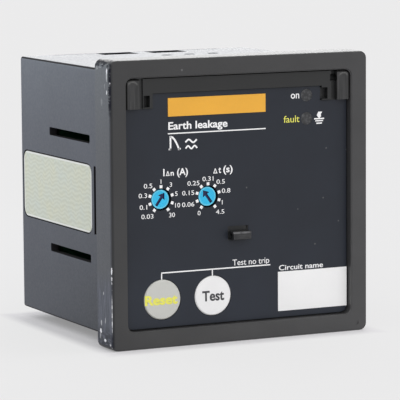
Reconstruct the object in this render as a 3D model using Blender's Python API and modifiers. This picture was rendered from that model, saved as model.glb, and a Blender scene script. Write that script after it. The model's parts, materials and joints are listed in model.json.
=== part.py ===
"""Flush-mount earth-leakage protection relay with a 72 mm square front, as an assembly of its pieces.

Metres, +Z up. X runs to the right as seen from the front and Y runs into the depth. The origin is the
middle of the base of the whole relay's box. A depth below is measured from the front rim backwards.
"""

import math

import bmesh
import bpy
from mathutils import Matrix, Vector

MM = 0.001

# Clearances: between moulded pieces, under films, round the buttons and at the ends of the boards
GAP = 0.3 * MM
SKIN_GAP = 0.05 * MM
BUTTON_GAP = 0.15 * MM
BOARD_GAP = 0.5 * MM

# Front frame
FRAME_SIDE = 72.0 * MM
FRAME_DEPTH = 8.6 * MM
FRAME_CORNER = 1.8 * MM
FRAME_ROUND = 0.4 * MM
RIM_WIDTH = 4.5 * MM
WINDOW_CORNER = 1.8 * MM
WINDOW_CHAMFER = 0.25 * MM
LIP_DEPTH = 3.0 * MM
FLANGE_WIDTH = 2.6 * MM
SINK_RADIUS = 0.5 * MM
SINK_DEPTH = 0.15 * MM
SINK_FROM_RIGHT = 2.9 * MM
SINK_FROM_BOTTOM = 2.0 * MM

# Face plate behind the window
EAR_FACE = 0.45 * MM
LAND_FACE = 1.3 * MM
FILM_FACE = 2.0 * MM
FILM_THICKNESS = 0.15 * MM
PLATE_THICKNESS = 2.2 * MM
PLATE_ROUND = 0.2 * MM
PLATE_FLANGE = 0.9 * MM
PLATE_FLANGE_DEPTH = 2.0 * MM
PLATE_FLANGE_WIDTH = 2.1 * MM
LAND_DROP = 4.0 * MM
LAND_SIDE_DROP = 7.7 * MM
LAND_INSET = 7.8 * MM
EAR_WIDTH = 3.4 * MM
EAR_GAP = 0.4 * MM
ARM_SLOT = 1.3 * MM
SOCKET_DROP = 2.1 * MM
SOCKET_RADIUS = 1.0 * MM
SOCKET_REACH = 1.6 * MM
SOCKET_DEPTH = 1.75 * MM
NOTCH_WIDTH = 1.75 * MM
NOTCH_HEIGHT = 2.9 * MM
NOTCH_FROM_LEFT = 5.25 * MM
NOTCH_FROM_RIGHT = 6.15 * MM
NOTCH_RISE = 0.3 * MM
FILM_INSET = 0.35 * MM

# Seal lug in the middle of the face
LUG_WIDTH = 5.2 * MM
LUG_HEIGHT = 2.1 * MM
LUG_PROUD = 0.7 * MM
LUG_DROP = 9.2 * MM
LUG_ROUND = 0.4 * MM
LUG_HOLE = 1.3 * MM
LUG_HOLE_CORNER = 0.43 * MM
LUG_HOLE_DEPTH = 0.9 * MM
LUG_SLOT = 1.2 * MM

# Controls, measured from the left, right, top and bottom edges of the window
DIAL_RADIUS = 2.5 * MM
DIAL_SUNK = 0.5 * MM
DIAL_EDGE = 0.15 * MM
DIAL_HEAD = 2.8 * MM
DIAL_SHAFT_RADIUS = 1.5 * MM
DIAL_SHAFT = 2.6 * MM
DIAL_FROM_LEFT = 10.15 * MM
DIAL_PITCH = 13.0 * MM
DIAL_FROM_TOP = 30.55 * MM
ARROW_DEPTH = 0.35 * MM
ARROW_WIDTH = 0.75 * MM
ARROW_HEAD = 1.1 * MM
ARROW_HEAD_LENGTH = 1.43 * MM
ARROW_REACH = 1.95 * MM
CURRENT_SETTING = math.radians(54)
TIME_SETTING = math.radians(126)
BUTTON_RADIUS = 5.0 * MM
BUTTON_PROUD = 0.2 * MM
BUTTON_EDGE = 0.25 * MM
BUTTON_COLLAR = 0.7 * MM
BUTTON_COLLAR_DEPTH = 0.8 * MM
BUTTON_STEM_RADIUS = 1.5 * MM
BUTTON_STEM = 3.1 * MM
BUTTON_TRAVEL = 0.8 * MM
BUTTON_FROM_LEFT = 10.25 * MM
BUTTON_PITCH = 14.05 * MM
BUTTON_FROM_BOTTOM = 7.3 * MM
LED_RADIUS = 1.5 * MM
LED_FROM_RIGHT = 11.85 * MM
LED_FROM_TOP = 6.3 * MM
LED_PITCH = 5.95 * MM
LED_LENGTH = 4.4 * MM
LED_DOME = 0.35 * MM
LED_COLLAR = 0.4 * MM
LED_COLLAR_DEPTH = 1.0 * MM

# Printed fields on the film
BAND_WIDTH = 27.2 * MM
BAND_HEIGHT = 4.6 * MM
BAND_FROM_LEFT = 12.2 * MM
BAND_FROM_TOP = 5.4 * MM
NOTE_WIDTH = 19.9 * MM
NOTE_HEIGHT = 10.1 * MM
NOTE_FROM_RIGHT = 0.35 * MM
NOTE_FROM_BOTTOM = 1.9 * MM
PRINT_THICKNESS = 0.05 * MM

# Housing
RELAY_DEPTH = 63.0 * MM
WALL = 2.0 * MM
HOUSING_CORNER = 0.8 * MM
HOUSING_ROUND = 0.4 * MM
SLOT_OFFSET = 15.15 * MM
SLOT_HEIGHT = 2.1 * MM
SLOT_START = 18.2 * MM
SLOT_LENGTH = 25.7 * MM
SLOT_CORNER = 0.4 * MM
SLIT_WIDTH = 1.2 * MM
SLIT_START = 14.7 * MM
SLIT_HEIGHT = 17.2 * MM
LABEL_START = 17.25 * MM
LABEL_LENGTH = 44.65 * MM
LABEL_HEIGHT = 17.9 * MM
LABEL_CORNER = 2.6 * MM
LABEL_GAP = 0.35 * MM
LABEL_RECESS = 0.3 * MM
LABEL_THICKNESS = 0.15 * MM
VENT_INNER = 2.0 * MM
VENT_WIDTH = 10.2 * MM
VENT_LENGTH = 6.6 * MM
VENT_REAR_STRIP = 0.8 * MM
VENT_REACH = 3.4 * MM
SEAM_REACH = 24.0 * MM
SEAM_WIDTH = 0.6 * MM
SEAM_DEPTH = 0.5 * MM
SEAM_REAR_STRIP = 0.9 * MM
DIMPLE_START = 45.3 * MM
DIMPLE_FIRST = 1.6 * MM
DIMPLE_PITCH = 6.8 * MM
DIMPLE_COUNT = 3
DIMPLE_WIDTH = 3.0 * MM
DIMPLE_LENGTH = 2.4 * MM
DIMPLE_DEPTH = 0.3 * MM
DIMPLE_CORNER = 0.96 * MM
NOSE_PROUD = 0.6 * MM
NOSE_LENGTH = 12.0 * MM
NOSE_START = 1.2 * MM
NOSE_WIDTH = 1.2 * MM
RAIL_REACH = 2.4 * MM
RAIL_THICKNESS = 1.2 * MM
RAIL_START = 17.0 * MM

# Boards and what they carry
BOARD_THICKNESS = 1.6 * MM
BOARD_CORNER = 1.0 * MM
SWITCH_DEPTH = 6.0 * MM
ROTARY_SIDE = 9.6 * MM
ROTARY_CORNER = 0.6 * MM
TACT_SIDE = 6.0 * MM
TACT_CORNER = 0.4 * MM
TACT_DEPTH = 3.5 * MM
BOSS_RADIUS = 2.5 * MM
BOSS_FROM_SIDE = 5.0 * MM
BOSS_OFFSET = 14.0 * MM
BOARD_SCREW_RADIUS = 1.0 * MM
BOARD_SCREW_LENGTH = 5.5 * MM
BOARD_SCREW_HEAD = 2.1 * MM
BOARD_SCREW_HEAD_HEIGHT = 1.5 * MM
BOARD_SCREW_EDGE = 0.3 * MM
FRONT_BOARD_MARGIN = 2.6 * MM
MAIN_BOARD_DROP = 9.0 * MM
MAIN_BOARD_FRONT = 2.9 * MM
MAIN_BOARD_REAR = 1.7 * MM
CHIP_SIDE = 10.0 * MM
CHIP_CORNER = 0.5 * MM
CHIP_HEIGHT = 1.8 * MM
CHIP_RISE = 14.0 * MM
CONNECTOR_WIDTH = 20.0 * MM
CONNECTOR_HEIGHT = 5.0 * MM
CONNECTOR_OVERLAP = 1.7 * MM
REAR_CONNECTOR_SPACING = 4.1 * MM
REAR_CONNECTOR_OVERLAP = 3.6 * MM
PART_START = 2.7 * MM
PART_SPACING = 1.5 * MM
RELAY_HEIGHT = 15.0 * MM
RELAY_CORNER = 0.6 * MM
RELAY_ROUND = 0.4 * MM
EDGE_MARGIN = 3.4 * MM
CORE_WIDTH = 28.0 * MM
CORE_HEIGHT = 24.0 * MM
CORE_LEG = 7.0 * MM
CORE_OUTER_LEG = 4.0 * MM
CORE_YOKE = 4.0 * MM
COIL_WALL = 3.9 * MM
COIL_CORNER = 1.5 * MM
CAPACITOR_RADIUS = 3.2 * MM
CAPACITOR_HEIGHT = 12.0 * MM
CAPACITOR_GROOVE = 0.25 * MM
CAPACITOR_GROOVE_DROP = 2.0 * MM
CAPACITOR_FROM_REAR = 4.6 * MM
CAPACITOR_SPACING = 9.0 * MM
FILTER_WIDTH = 12.0 * MM
FILTER_LENGTH = 5.0 * MM
FILTER_HEIGHT = 9.0 * MM

# Terminals at the rear
TERMINAL_POLES = 6
TERMINAL_PITCH = 8.0 * MM
TERMINAL_END = 5.0 * MM
TERMINAL_HEIGHT = 11.0 * MM
TERMINAL_OFFSET = 18.5 * MM
TERMINAL_SUNK = 0.3 * MM
TERMINAL_BODY = 8.8 * MM
WIRE_ENTRY = 3.6 * MM
WIRE_ENTRY_DEPTH = 6.0 * MM
WIRE_OFFSET = 2.7 * MM
SCREW_OFFSET = 2.6 * MM
SCREW_WELL_RADIUS = 2.2 * MM
SCREW_WELL_DEPTH = 2.6 * MM
SCREW_HEAD_RADIUS = 1.85 * MM
SCREW_HEAD_HEIGHT = 1.3 * MM
SCREW_EDGE = 0.2 * MM
SCREW_SHANK_RADIUS = 1.1 * MM
SCREW_LENGTH = 3.6 * MM
SCREW_SLOT = 0.55 * MM
SCREW_SLOT_DEPTH = 0.6 * MM
REAR_BOARD_MARGIN = 4.4 * MM

# Facets, how far cutters reach past a face, and limits within which points count as the same
ROUND_STEPS = 48
HOLE_STEPS = 32
SMALL_STEPS = 20
SCREW_STEPS = 12
CORNER_STEPS = 5
SHORT_CORNER_STEPS = 2
DOME_STEPS = 4
SHARP_ANGLE = math.radians(30)
BEYOND = 2.0 * MM
BARELY = 0.005 * MM
ALONG = 0.999
SAME_PLACE = 0.0001 * MM
WELD = 0.001 * MM

# Worked out from the sizes above
FRONT = (LUG_PROUD - RELAY_DEPTH) / 2
MID = FRAME_SIDE / 2
WINDOW_HALF = FRAME_SIDE / 2 - RIM_WIDTH
WINDOW_TOP = MID + WINDOW_HALF
WINDOW_BOTTOM = MID - WINDOW_HALF
BODY_HALF = FRAME_SIDE / 2 - FLANGE_WIDTH
INNER_HALF = BODY_HALF - WALL
PLATE_FACE = FILM_FACE + FILM_THICKNESS + SKIN_GAP
PLATE_BACK = PLATE_FACE + PLATE_THICKNESS
PLATE_HALF = WINDOW_HALF - GAP
PLATE_FLANGE_HALF = WINDOW_HALF + PLATE_FLANGE
PLATE_FLANGE_FACE = LIP_DEPTH + GAP
PLATE_FLANGE_BACK = PLATE_FLANGE_FACE + PLATE_FLANGE_DEPTH
HOUSING_FACE = PLATE_FLANGE_BACK + GAP
REAR_WALL = RELAY_DEPTH - WALL
LAND_BOTTOM = WINDOW_TOP - LAND_SIDE_DROP
LAND_MIDDLE = WINDOW_TOP - LAND_DROP
LAND_HALF = WINDOW_HALF - LAND_INSET
EAR_OUTER = WINDOW_HALF - EAR_GAP
EAR_INNER = EAR_OUTER - EAR_WIDTH
SWITCH_FACE = PLATE_BACK + GAP
FRONT_BOARD_FACE = SWITCH_FACE + SWITCH_DEPTH + GAP
FRONT_BOARD_BACK = FRONT_BOARD_FACE + BOARD_THICKNESS
MAIN_FRONT = FRONT_BOARD_BACK + MAIN_BOARD_FRONT
TERMINAL_BACK = RELAY_DEPTH - TERMINAL_SUNK
TERMINAL_FACE = TERMINAL_BACK - TERMINAL_BODY
REAR_BOARD_BACK = TERMINAL_FACE - GAP
REAR_BOARD_FACE = REAR_BOARD_BACK - BOARD_THICKNESS
MAIN_REAR = REAR_BOARD_FACE - MAIN_BOARD_REAR
MAIN_BOTTOM = MID - MAIN_BOARD_DROP
MAIN_TOP = MAIN_BOTTOM + BOARD_THICKNESS
MAIN_HALF = INNER_HALF - BOARD_GAP
PARTS_BASE = MAIN_TOP + GAP
PARTS_HALF = MAIN_HALF - EDGE_MARGIN
PARTS_FRONT = MAIN_FRONT + PART_START
CAPACITOR_DEPTH = MAIN_REAR - CAPACITOR_FROM_REAR
PARTS_BACK = CAPACITOR_DEPTH - CAPACITOR_RADIUS - PART_SPACING
RELAY_WIDTH = PARTS_HALF - CORE_WIDTH / 2 - PART_SPACING
TERMINAL_HALF = (TERMINAL_POLES - 1) * TERMINAL_PITCH / 2 + TERMINAL_END
DIALS = {
    "current": (-WINDOW_HALF + DIAL_FROM_LEFT, WINDOW_TOP - DIAL_FROM_TOP, CURRENT_SETTING),
    "time": (-WINDOW_HALF + DIAL_FROM_LEFT + DIAL_PITCH, WINDOW_TOP - DIAL_FROM_TOP, TIME_SETTING),
}
BUTTONS = {
    "reset": (-WINDOW_HALF + BUTTON_FROM_LEFT, WINDOW_BOTTOM + BUTTON_FROM_BOTTOM),
    "test": (-WINDOW_HALF + BUTTON_FROM_LEFT + BUTTON_PITCH, WINDOW_BOTTOM + BUTTON_FROM_BOTTOM),
}
LEDS = {
    "on": (WINDOW_HALF - LED_FROM_RIGHT, WINDOW_TOP - LED_FROM_TOP),
    "fault": (WINDOW_HALF - LED_FROM_RIGHT, WINDOW_TOP - LED_FROM_TOP - LED_PITCH),
}
BOSSES = [
    (side * (WINDOW_HALF - BOSS_FROM_SIDE), MID + up * BOSS_OFFSET) for up in (-1, 1) for side in (-1, 1)
]
TERMINAL_ROWS = {"upper": 1, "lower": -1}


def clear_scene():
    for obj in list(bpy.data.objects):
        bpy.data.objects.remove(obj)


def new_collection(name):
    collection = bpy.data.collections.new(name)
    bpy.context.scene.collection.children.link(collection)
    return collection


def material(name, colour, roughness, metallic=0.0):
    made = bpy.data.materials.new(name)
    made.use_nodes = True
    shader = made.node_tree.nodes["Principled BSDF"]
    shader.inputs["Base Color"].default_value = (*colour, 1.0)
    shader.inputs["Roughness"].default_value = roughness
    shader.inputs["Metallic"].default_value = metallic
    made.diffuse_color = (*colour, 1.0)
    return made


def y_at(depth):
    return FRONT + depth


def place(name, bm, collection):
    """A new object from the bmesh, which is freed."""
    mesh = bpy.data.meshes.new(name)
    bm.to_mesh(mesh)
    bm.free()
    obj = bpy.data.objects.new(name, mesh)
    collection.objects.link(obj)
    if collection is CUTTERS:
        obj.hide_render = True
        obj.display_type = "WIRE"
    return obj


def finish(obj, made):
    obj.data.materials.append(made)
    obj.data.shade_smooth()
    obj.data.set_sharp_from_angle(angle=SHARP_ANGLE)
    return obj


def runs_along(edge, axis):
    along = edge.verts[1].co - edge.verts[0].co
    return abs(along[axis]) > ALONG * along.length


def lies_at(edge, axis, value):
    return all(abs(vertex.co[axis] - value) < SAME_PLACE for vertex in edge.verts)


def bevel(bm, edges, width, steps):
    bmesh.ops.bevel(bm, geom=edges, offset=width, segments=steps, profile=0.5, affect="EDGES")


def block(name, xs, depths, zs, collection, corner=0.0, along="Y", front=0.0, back=0.0, steps=CORNER_STEPS):
    """A box with its four edges along one axis rounded, and the rims of its front and back rounded too."""
    low = Vector((min(xs), y_at(min(depths)), min(zs)))
    high = Vector((max(xs), y_at(max(depths)), max(zs)))
    bm = bmesh.new()
    bmesh.ops.create_cube(bm, size=1.0)
    bmesh.ops.scale(bm, vec=high - low, verts=bm.verts)
    bmesh.ops.translate(bm, vec=(low + high) / 2, verts=bm.verts)
    axis = "XYZ".index(along)
    if corner:
        bevel(bm, [edge for edge in bm.edges if runs_along(edge, axis)], corner, steps)
    for end, width in ((low, front), (high, back)):
        if width:
            bevel(bm, [edge for edge in bm.edges if lies_at(edge, axis, end[axis])], width, SHORT_CORNER_STEPS)
    return place(name, bm, collection)


def square(name, half, depths, collection, **rounding):
    """A block with a square face in the middle of the relay."""
    return block(name, (-half, half), depths, (MID - half, MID + half), collection, **rounding)


def rods(name, centres, radius, depths, collection, steps=HOLE_STEPS):
    """Round bars along Y, as one mesh: bosses, or what cuts round holes."""
    bm = bmesh.new()
    for x, z in centres:
        round_bar(bm, (x, y_at(sum(depths) / 2), z), "X", radius, max(depths) - min(depths), steps)
    return place(name, bm, collection)


def round_bar(bm, middle, turned_about, radius, length, steps):
    """Adds a capped cylinder, upright before a quarter turn about X (to lie along Y) or Y (along X)."""
    lay_down = Matrix.Rotation(math.pi / 2, 4, turned_about)
    bmesh.ops.create_cone(
        bm,
        cap_ends=True,
        segments=steps,
        radius1=radius,
        radius2=radius,
        depth=length,
        matrix=Matrix.Translation(middle) @ lay_down,
    )


FACINGS = {"front": (math.pi / 2, 0, 0), "rear": (-math.pi / 2, 0, 0), "up": (0, 0, 0)}


def turned(name, at, facing, profile, collection, steps=ROUND_STEPS):
    """A turned piece. Its profile is (radius, height) points from the middle of its face to its back."""
    mesh = bpy.data.meshes.new(name)
    points = [(radius, 0.0, height) for radius, height in profile]
    mesh.from_pydata(points, [(i, i + 1) for i in range(len(points) - 1)], [])
    obj = bpy.data.objects.new(name, mesh)
    collection.objects.link(obj)
    obj.location = at
    obj.rotation_euler = FACINGS[facing]
    screw = obj.modifiers.new("turn", "SCREW")
    screw.axis = "Z"
    screw.steps = steps
    screw.render_steps = steps
    screw.use_merge_vertices = True
    screw.merge_threshold = WELD
    return obj


def boolean(obj, other, operation, name):
    modifier = obj.modifiers.new(name, "BOOLEAN")
    modifier.operation = operation
    modifier.solver = "EXACT"
    modifier.object = other


def cut(obj, *cutters):
    for cutter in cutters:
        boolean(obj, cutter, "DIFFERENCE", "cut_" + cutter.name)


def add(obj, *others):
    for other in others:
        boolean(obj, other, "UNION", "add_" + other.name)


def centres_of(places):
    return [place_of[:2] for place_of in places.values()]


def make_front_frame():
    """The square frame: a lip round the window, a ledge for the face plate and a skirt for the housing."""
    frame = square(
        "front_frame", FRAME_SIDE / 2, (0, FRAME_DEPTH), PART, corner=FRAME_CORNER, front=FRAME_ROUND
    )
    window = square(
        "window_cutter", WINDOW_HALF, (-BEYOND, LIP_DEPTH + BEYOND), CUTTERS, corner=WINDOW_CORNER
    )
    mouth = square(
        "window_mouth_cutter",
        WINDOW_HALF + WINDOW_CHAMFER,
        (-BEYOND, WINDOW_CHAMFER),
        CUTTERS,
        corner=WINDOW_CORNER + WINDOW_CHAMFER,
        back=WINDOW_CHAMFER - BARELY,
    )
    plate_pocket = square(
        "plate_pocket_cutter", PLATE_FLANGE_HALF + GAP, (LIP_DEPTH, PLATE_FLANGE_BACK + BEYOND), CUTTERS
    )
    skirt = square(
        "skirt_cutter",
        BODY_HALF + GAP,
        (PLATE_FLANGE_BACK, FRAME_DEPTH + BEYOND),
        CUTTERS,
        corner=HOUSING_CORNER,
    )
    nose_start = HOUSING_FACE + NOSE_START
    catches = block(
        "catch_cutter",
        (-BODY_HALF - NOSE_PROUD - GAP, BODY_HALF + NOSE_PROUD + GAP),
        (nose_start - GAP, nose_start + NOSE_WIDTH + GAP),
        (MID - NOSE_LENGTH / 2 - GAP, MID + NOSE_LENGTH / 2 + GAP),
        CUTTERS,
    )
    sink = rods(
        "sink_cutter",
        [(FRAME_SIDE / 2 - SINK_FROM_RIGHT, SINK_FROM_BOTTOM)],
        SINK_RADIUS,
        (-BEYOND, SINK_DEPTH),
        CUTTERS,
        SMALL_STEPS,
    )
    cut(frame, window, mouth, plate_pocket, skirt, catches, sink)
    finish(frame, material("frame_plastic", (0.055, 0.056, 0.058), 0.5))


def make_face_plate():
    """The moulded plate in the window: film bed, raised land with cover ears, seal lug, bosses behind."""
    plate = square(
        "face_plate",
        PLATE_HALF,
        (EAR_FACE, PLATE_BACK),
        PART,
        corner=WINDOW_CORNER - GAP,
        front=PLATE_ROUND,
    )
    reach = WINDOW_HALF + BEYOND
    bed = block(
        "film_bed_cutter",
        (-reach, reach),
        (-BEYOND, PLATE_FACE),
        (WINDOW_BOTTOM - BEYOND, LAND_BOTTOM),
        CUTTERS,
    )
    tab = block(
        "film_tab_cutter",
        (-LAND_HALF, LAND_HALF),
        (-BEYOND, PLATE_FACE),
        (LAND_BOTTOM - BEYOND, LAND_MIDDLE),
        CUTTERS,
    )
    land = block(
        "land_cutter",
        (-EAR_INNER, EAR_INNER),
        (-BEYOND, LAND_FACE),
        (LAND_BOTTOM - BEYOND, WINDOW_TOP + BEYOND),
        CUTTERS,
    )
    flange = square(
        "plate_flange", PLATE_FLANGE_HALF, (PLATE_FLANGE_FACE, PLATE_FLANGE_BACK), CUTTERS
    )
    back_pocket = square(
        "plate_back_cutter",
        PLATE_FLANGE_HALF - PLATE_FLANGE_WIDTH,
        (PLATE_BACK, PLATE_FLANGE_BACK + BEYOND),
        CUTTERS,
    )
    cut(plate, bed, tab, land, arm_slot_cutter(1), arm_slot_cutter(-1))
    add(plate, flange)
    cut(plate, back_pocket)
    bosses = rods(
        "boss_rods",
        BOSSES,
        BOSS_RADIUS,
        (PLATE_BACK - BEYOND / 2, FRONT_BOARD_FACE - GAP),
        CUTTERS,
        SMALL_STEPS,
    )
    add(plate, make_lug(), bosses)
    cut(plate, lug_hole_cutter(), lug_slot_cutter(PLATE_FACE + LUG_SLOT))
    left_notch = notch_cutter(-WINDOW_HALF + NOTCH_FROM_LEFT)
    right_notch = notch_cutter(WINDOW_HALF - NOTCH_FROM_RIGHT - NOTCH_WIDTH)
    cut(plate, left_notch, right_notch, socket_cutter(1), socket_cutter(-1))
    cut(plate, *face_holes(DIAL_RADIUS + GAP, BUTTON_RADIUS + GAP, LED_RADIUS + GAP, "plate", HOLE_STEPS))
    screw_end = FRONT_BOARD_BACK + GAP - BOARD_SCREW_LENGTH
    pilots = rods(
        "boss_pilot_cutter",
        BOSSES,
        BOARD_SCREW_RADIUS + GAP,
        (screw_end - GAP, FRONT_BOARD_FACE + BEYOND),
        CUTTERS,
        SMALL_STEPS,
    )
    cut(plate, pilots)
    finish(plate, material("plate_plastic", (0.045, 0.047, 0.05), 0.5))


def arm_slot_cutter(side):
    """The deeper slot beside an ear, where an arm of the cover lies."""
    return block(
        "arm_slot_cutter",
        (side * (EAR_INNER - ARM_SLOT), side * EAR_INNER),
        (-BEYOND, PLATE_FACE),
        (LAND_BOTTOM - BEYOND, WINDOW_TOP + BEYOND),
        CUTTERS,
    )


def make_lug():
    return block(
        "seal_lug",
        (-LUG_WIDTH / 2, LUG_WIDTH / 2),
        (-LUG_PROUD, PLATE_FACE + PLATE_THICKNESS / 2),
        lug_heights(),
        CUTTERS,
        front=LUG_ROUND,
    )


def lug_heights():
    return (MID - LUG_DROP - LUG_HEIGHT / 2, MID - LUG_DROP + LUG_HEIGHT / 2)


def lug_hole_cutter():
    middle = MID - LUG_DROP
    return block(
        "lug_hole_cutter",
        (-LUG_WIDTH, LUG_WIDTH),
        (LUG_HOLE_DEPTH - LUG_HOLE / 2, LUG_HOLE_DEPTH + LUG_HOLE / 2),
        (middle - LUG_HOLE / 2, middle + LUG_HOLE / 2),
        CUTTERS,
        corner=LUG_HOLE_CORNER,
        along="X",
        steps=SHORT_CORNER_STEPS,
    )


def lug_slot_cutter(far):
    """The narrow slot over the lug, down to the given depth."""
    top = lug_heights()[1]
    return block(
        "lug_slot_cutter",
        (-LUG_WIDTH / 2, LUG_WIDTH / 2),
        (FILM_FACE - BEYOND, far),
        (top, top + LUG_SLOT),
        CUTTERS,
    )


def notch_cutter(left):
    return block(
        "notch_cutter",
        (left, left + NOTCH_WIDTH),
        (-BEYOND, PLATE_BACK + BEYOND),
        (LAND_BOTTOM + NOTCH_RISE, LAND_BOTTOM + NOTCH_RISE + NOTCH_HEIGHT),
        CUTTERS,
    )


def socket_cutter(side):
    """The pivot socket of the cover, drilled sideways into an ear."""
    bm = bmesh.new()
    middle = (side * EAR_INNER, y_at(SOCKET_DEPTH), WINDOW_TOP - SOCKET_DROP)
    round_bar(bm, middle, "Y", SOCKET_RADIUS, 2 * SOCKET_REACH, SMALL_STEPS)
    return place("socket_cutter", bm, CUTTERS)


def face_holes(dial_radius, button_radius, led_radius, name, steps):
    """What cuts the holes for the dials, the buttons and the lamps."""
    depths = (-BEYOND, PLATE_FLANGE_BACK + BEYOND)
    return (
        rods(name + "_dial_holes", centres_of(DIALS), dial_radius, depths, CUTTERS, steps),
        rods(name + "_button_holes", centres_of(BUTTONS), button_radius, depths, CUTTERS, steps),
        rods(name + "_led_holes", centres_of(LEDS), led_radius, depths, CUTTERS, SMALL_STEPS),
    )


def make_face_film():
    """The thin printed film in its bed, with openings for what stands through it."""
    half = WINDOW_HALF - FILM_INSET
    film = block(
        "face_film",
        (-half, half),
        (FILM_FACE, FILM_FACE + FILM_THICKNESS),
        (WINDOW_BOTTOM + FILM_INSET, LAND_MIDDLE - GAP / 2),
        PART,
        corner=WINDOW_CORNER - GAP,
        steps=SHORT_CORNER_STEPS,
    )
    for side in (-1, 1):
        corner = block(
            "film_corner_cutter",
            (side * (LAND_HALF - GAP / 2), side * (WINDOW_HALF + BEYOND)),
            (0, PLATE_BACK),
            (LAND_BOTTOM - GAP / 2, WINDOW_TOP),
            CUTTERS,
        )
        cut(film, corner)
    low, high = lug_heights()
    lug_window = block(
        "film_lug_cutter",
        (-LUG_WIDTH / 2 - GAP, LUG_WIDTH / 2 + GAP),
        (0, PLATE_BACK),
        (low - GAP, high + LUG_SLOT),
        CUTTERS,
    )
    cut(film, lug_window)
    holes = face_holes(
        DIAL_RADIUS + GAP, BUTTON_RADIUS + BUTTON_GAP, LED_RADIUS + GAP / 2, "film", ROUND_STEPS
    )
    cut(film, *holes)
    finish(film, material("film_dark", (0.035, 0.04, 0.05), 0.45))


def print_depths():
    return (FILM_FACE - SKIN_GAP - PRINT_THICKNESS, FILM_FACE - SKIN_GAP)


def make_printed_fields():
    left = -WINDOW_HALF + BAND_FROM_LEFT
    top = WINDOW_TOP - BAND_FROM_TOP
    band = block("orange_band", (left, left + BAND_WIDTH), print_depths(), (top - BAND_HEIGHT, top), PART)
    finish(band, material("band_orange", (0.86, 0.42, 0.05), 0.5))
    right = WINDOW_HALF - NOTE_FROM_RIGHT
    bottom = WINDOW_BOTTOM + NOTE_FROM_BOTTOM
    note = block(
        "note_field", (right - NOTE_WIDTH, right), print_depths(), (bottom, bottom + NOTE_HEIGHT), PART
    )
    finish(note, material("note_white", (0.86, 0.87, 0.87), 0.5))


def make_housing():
    """The tub behind the frame: side slots, label recess, vents, terminal openings and board rails."""
    housing = square(
        "housing",
        BODY_HALF,
        (HOUSING_FACE, RELAY_DEPTH),
        PART,
        corner=HOUSING_CORNER,
        back=HOUSING_ROUND,
    )
    hollow = square("hollow_cutter", INNER_HALF, (HOUSING_FACE - BEYOND, REAR_WALL), CUTTERS)
    cut(housing, hollow)
    add(housing, make_rails(), make_noses())
    across = (-BODY_HALF - BEYOND, BODY_HALF + BEYOND)
    for side in (-1, 1):
        middle = MID + side * SLOT_OFFSET
        slot = block(
            "side_slot_cutter",
            across,
            (SLOT_START, SLOT_START + SLOT_LENGTH),
            (middle - SLOT_HEIGHT / 2, middle + SLOT_HEIGHT / 2),
            CUTTERS,
            corner=SLOT_CORNER,
            along="X",
            steps=SHORT_CORNER_STEPS,
        )
        cut(housing, slot, vent_cutter(side), seam_cutter(side), terminal_opening(side))
    slit = block(
        "slit_cutter",
        across,
        (SLIT_START, SLIT_START + SLIT_WIDTH),
        (MID - SLIT_HEIGHT / 2, MID + SLIT_HEIGHT / 2),
        CUTTERS,
    )
    recess = block(
        "label_recess_cutter",
        (-BODY_HALF - BEYOND, -BODY_HALF + LABEL_RECESS),
        (LABEL_START, LABEL_START + LABEL_LENGTH),
        (MID - LABEL_HEIGHT / 2, MID + LABEL_HEIGHT / 2),
        CUTTERS,
        corner=LABEL_CORNER,
        along="X",
    )
    cut(housing, slit, recess)
    for index in range(DIMPLE_COUNT):
        cut(housing, dimple_cutter(index))
    finish(housing, material("housing_plastic", (0.13, 0.14, 0.15), 0.45))


def vent_cutter(side):
    rear = RELAY_DEPTH - VENT_REAR_STRIP
    return block(
        "vent_cutter",
        (side * VENT_INNER, side * (VENT_INNER + VENT_WIDTH)),
        (rear - VENT_LENGTH, rear),
        (MID + INNER_HALF - VENT_REACH, MID + BODY_HALF + BEYOND),
        CUTTERS,
    )


def seam_cutter(side):
    """The thin line near the top's rear edge, from a vent outwards."""
    rear = RELAY_DEPTH - SEAM_REAR_STRIP
    top = MID + BODY_HALF
    return block(
        "seam_cutter",
        (side * (VENT_INNER + VENT_WIDTH / 2), side * SEAM_REACH),
        (rear - SEAM_WIDTH, rear),
        (top - SEAM_DEPTH, top + BEYOND),
        CUTTERS,
    )


def dimple_cutter(index):
    """One of the shallow round-ended marks on the top."""
    middle = DIMPLE_FIRST + index * DIMPLE_PITCH
    top = MID + BODY_HALF
    return block(
        "dimple_cutter",
        (middle - DIMPLE_WIDTH / 2, middle + DIMPLE_WIDTH / 2),
        (DIMPLE_START, DIMPLE_START + DIMPLE_LENGTH),
        (top - DIMPLE_DEPTH, top + BEYOND),
        CUTTERS,
        corner=DIMPLE_CORNER,
        along="Z",
    )


def terminal_opening(side):
    middle = MID + side * TERMINAL_OFFSET
    half = TERMINAL_HEIGHT / 2 + GAP
    return block(
        "terminal_opening_cutter",
        (-TERMINAL_HALF - GAP, TERMINAL_HALF + GAP),
        (REAR_WALL - BEYOND, RELAY_DEPTH + BEYOND),
        (middle - half, middle + half),
        CUTTERS,
    )


def make_rails():
    """Two rails on each side wall, with the main board in the groove between them."""
    bm = bmesh.new()
    near = y_at(RAIL_START)
    far = y_at(REAR_BOARD_FACE - BOARD_GAP)
    for side in (-1, 1):
        for low in (MAIN_BOTTOM - GAP - RAIL_THICKNESS, MAIN_TOP + GAP):
            made = bmesh.ops.create_cube(bm, size=1.0)
            size = (RAIL_REACH + WALL / 2, far - near, RAIL_THICKNESS)
            across = side * (INNER_HALF - (RAIL_REACH - WALL / 2) / 2)
            middle = (across, (near + far) / 2, low + RAIL_THICKNESS / 2)
            bmesh.ops.scale(bm, vec=size, verts=made["verts"])
            bmesh.ops.translate(bm, vec=middle, verts=made["verts"])
    return place("board_rails", bm, CUTTERS)


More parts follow.
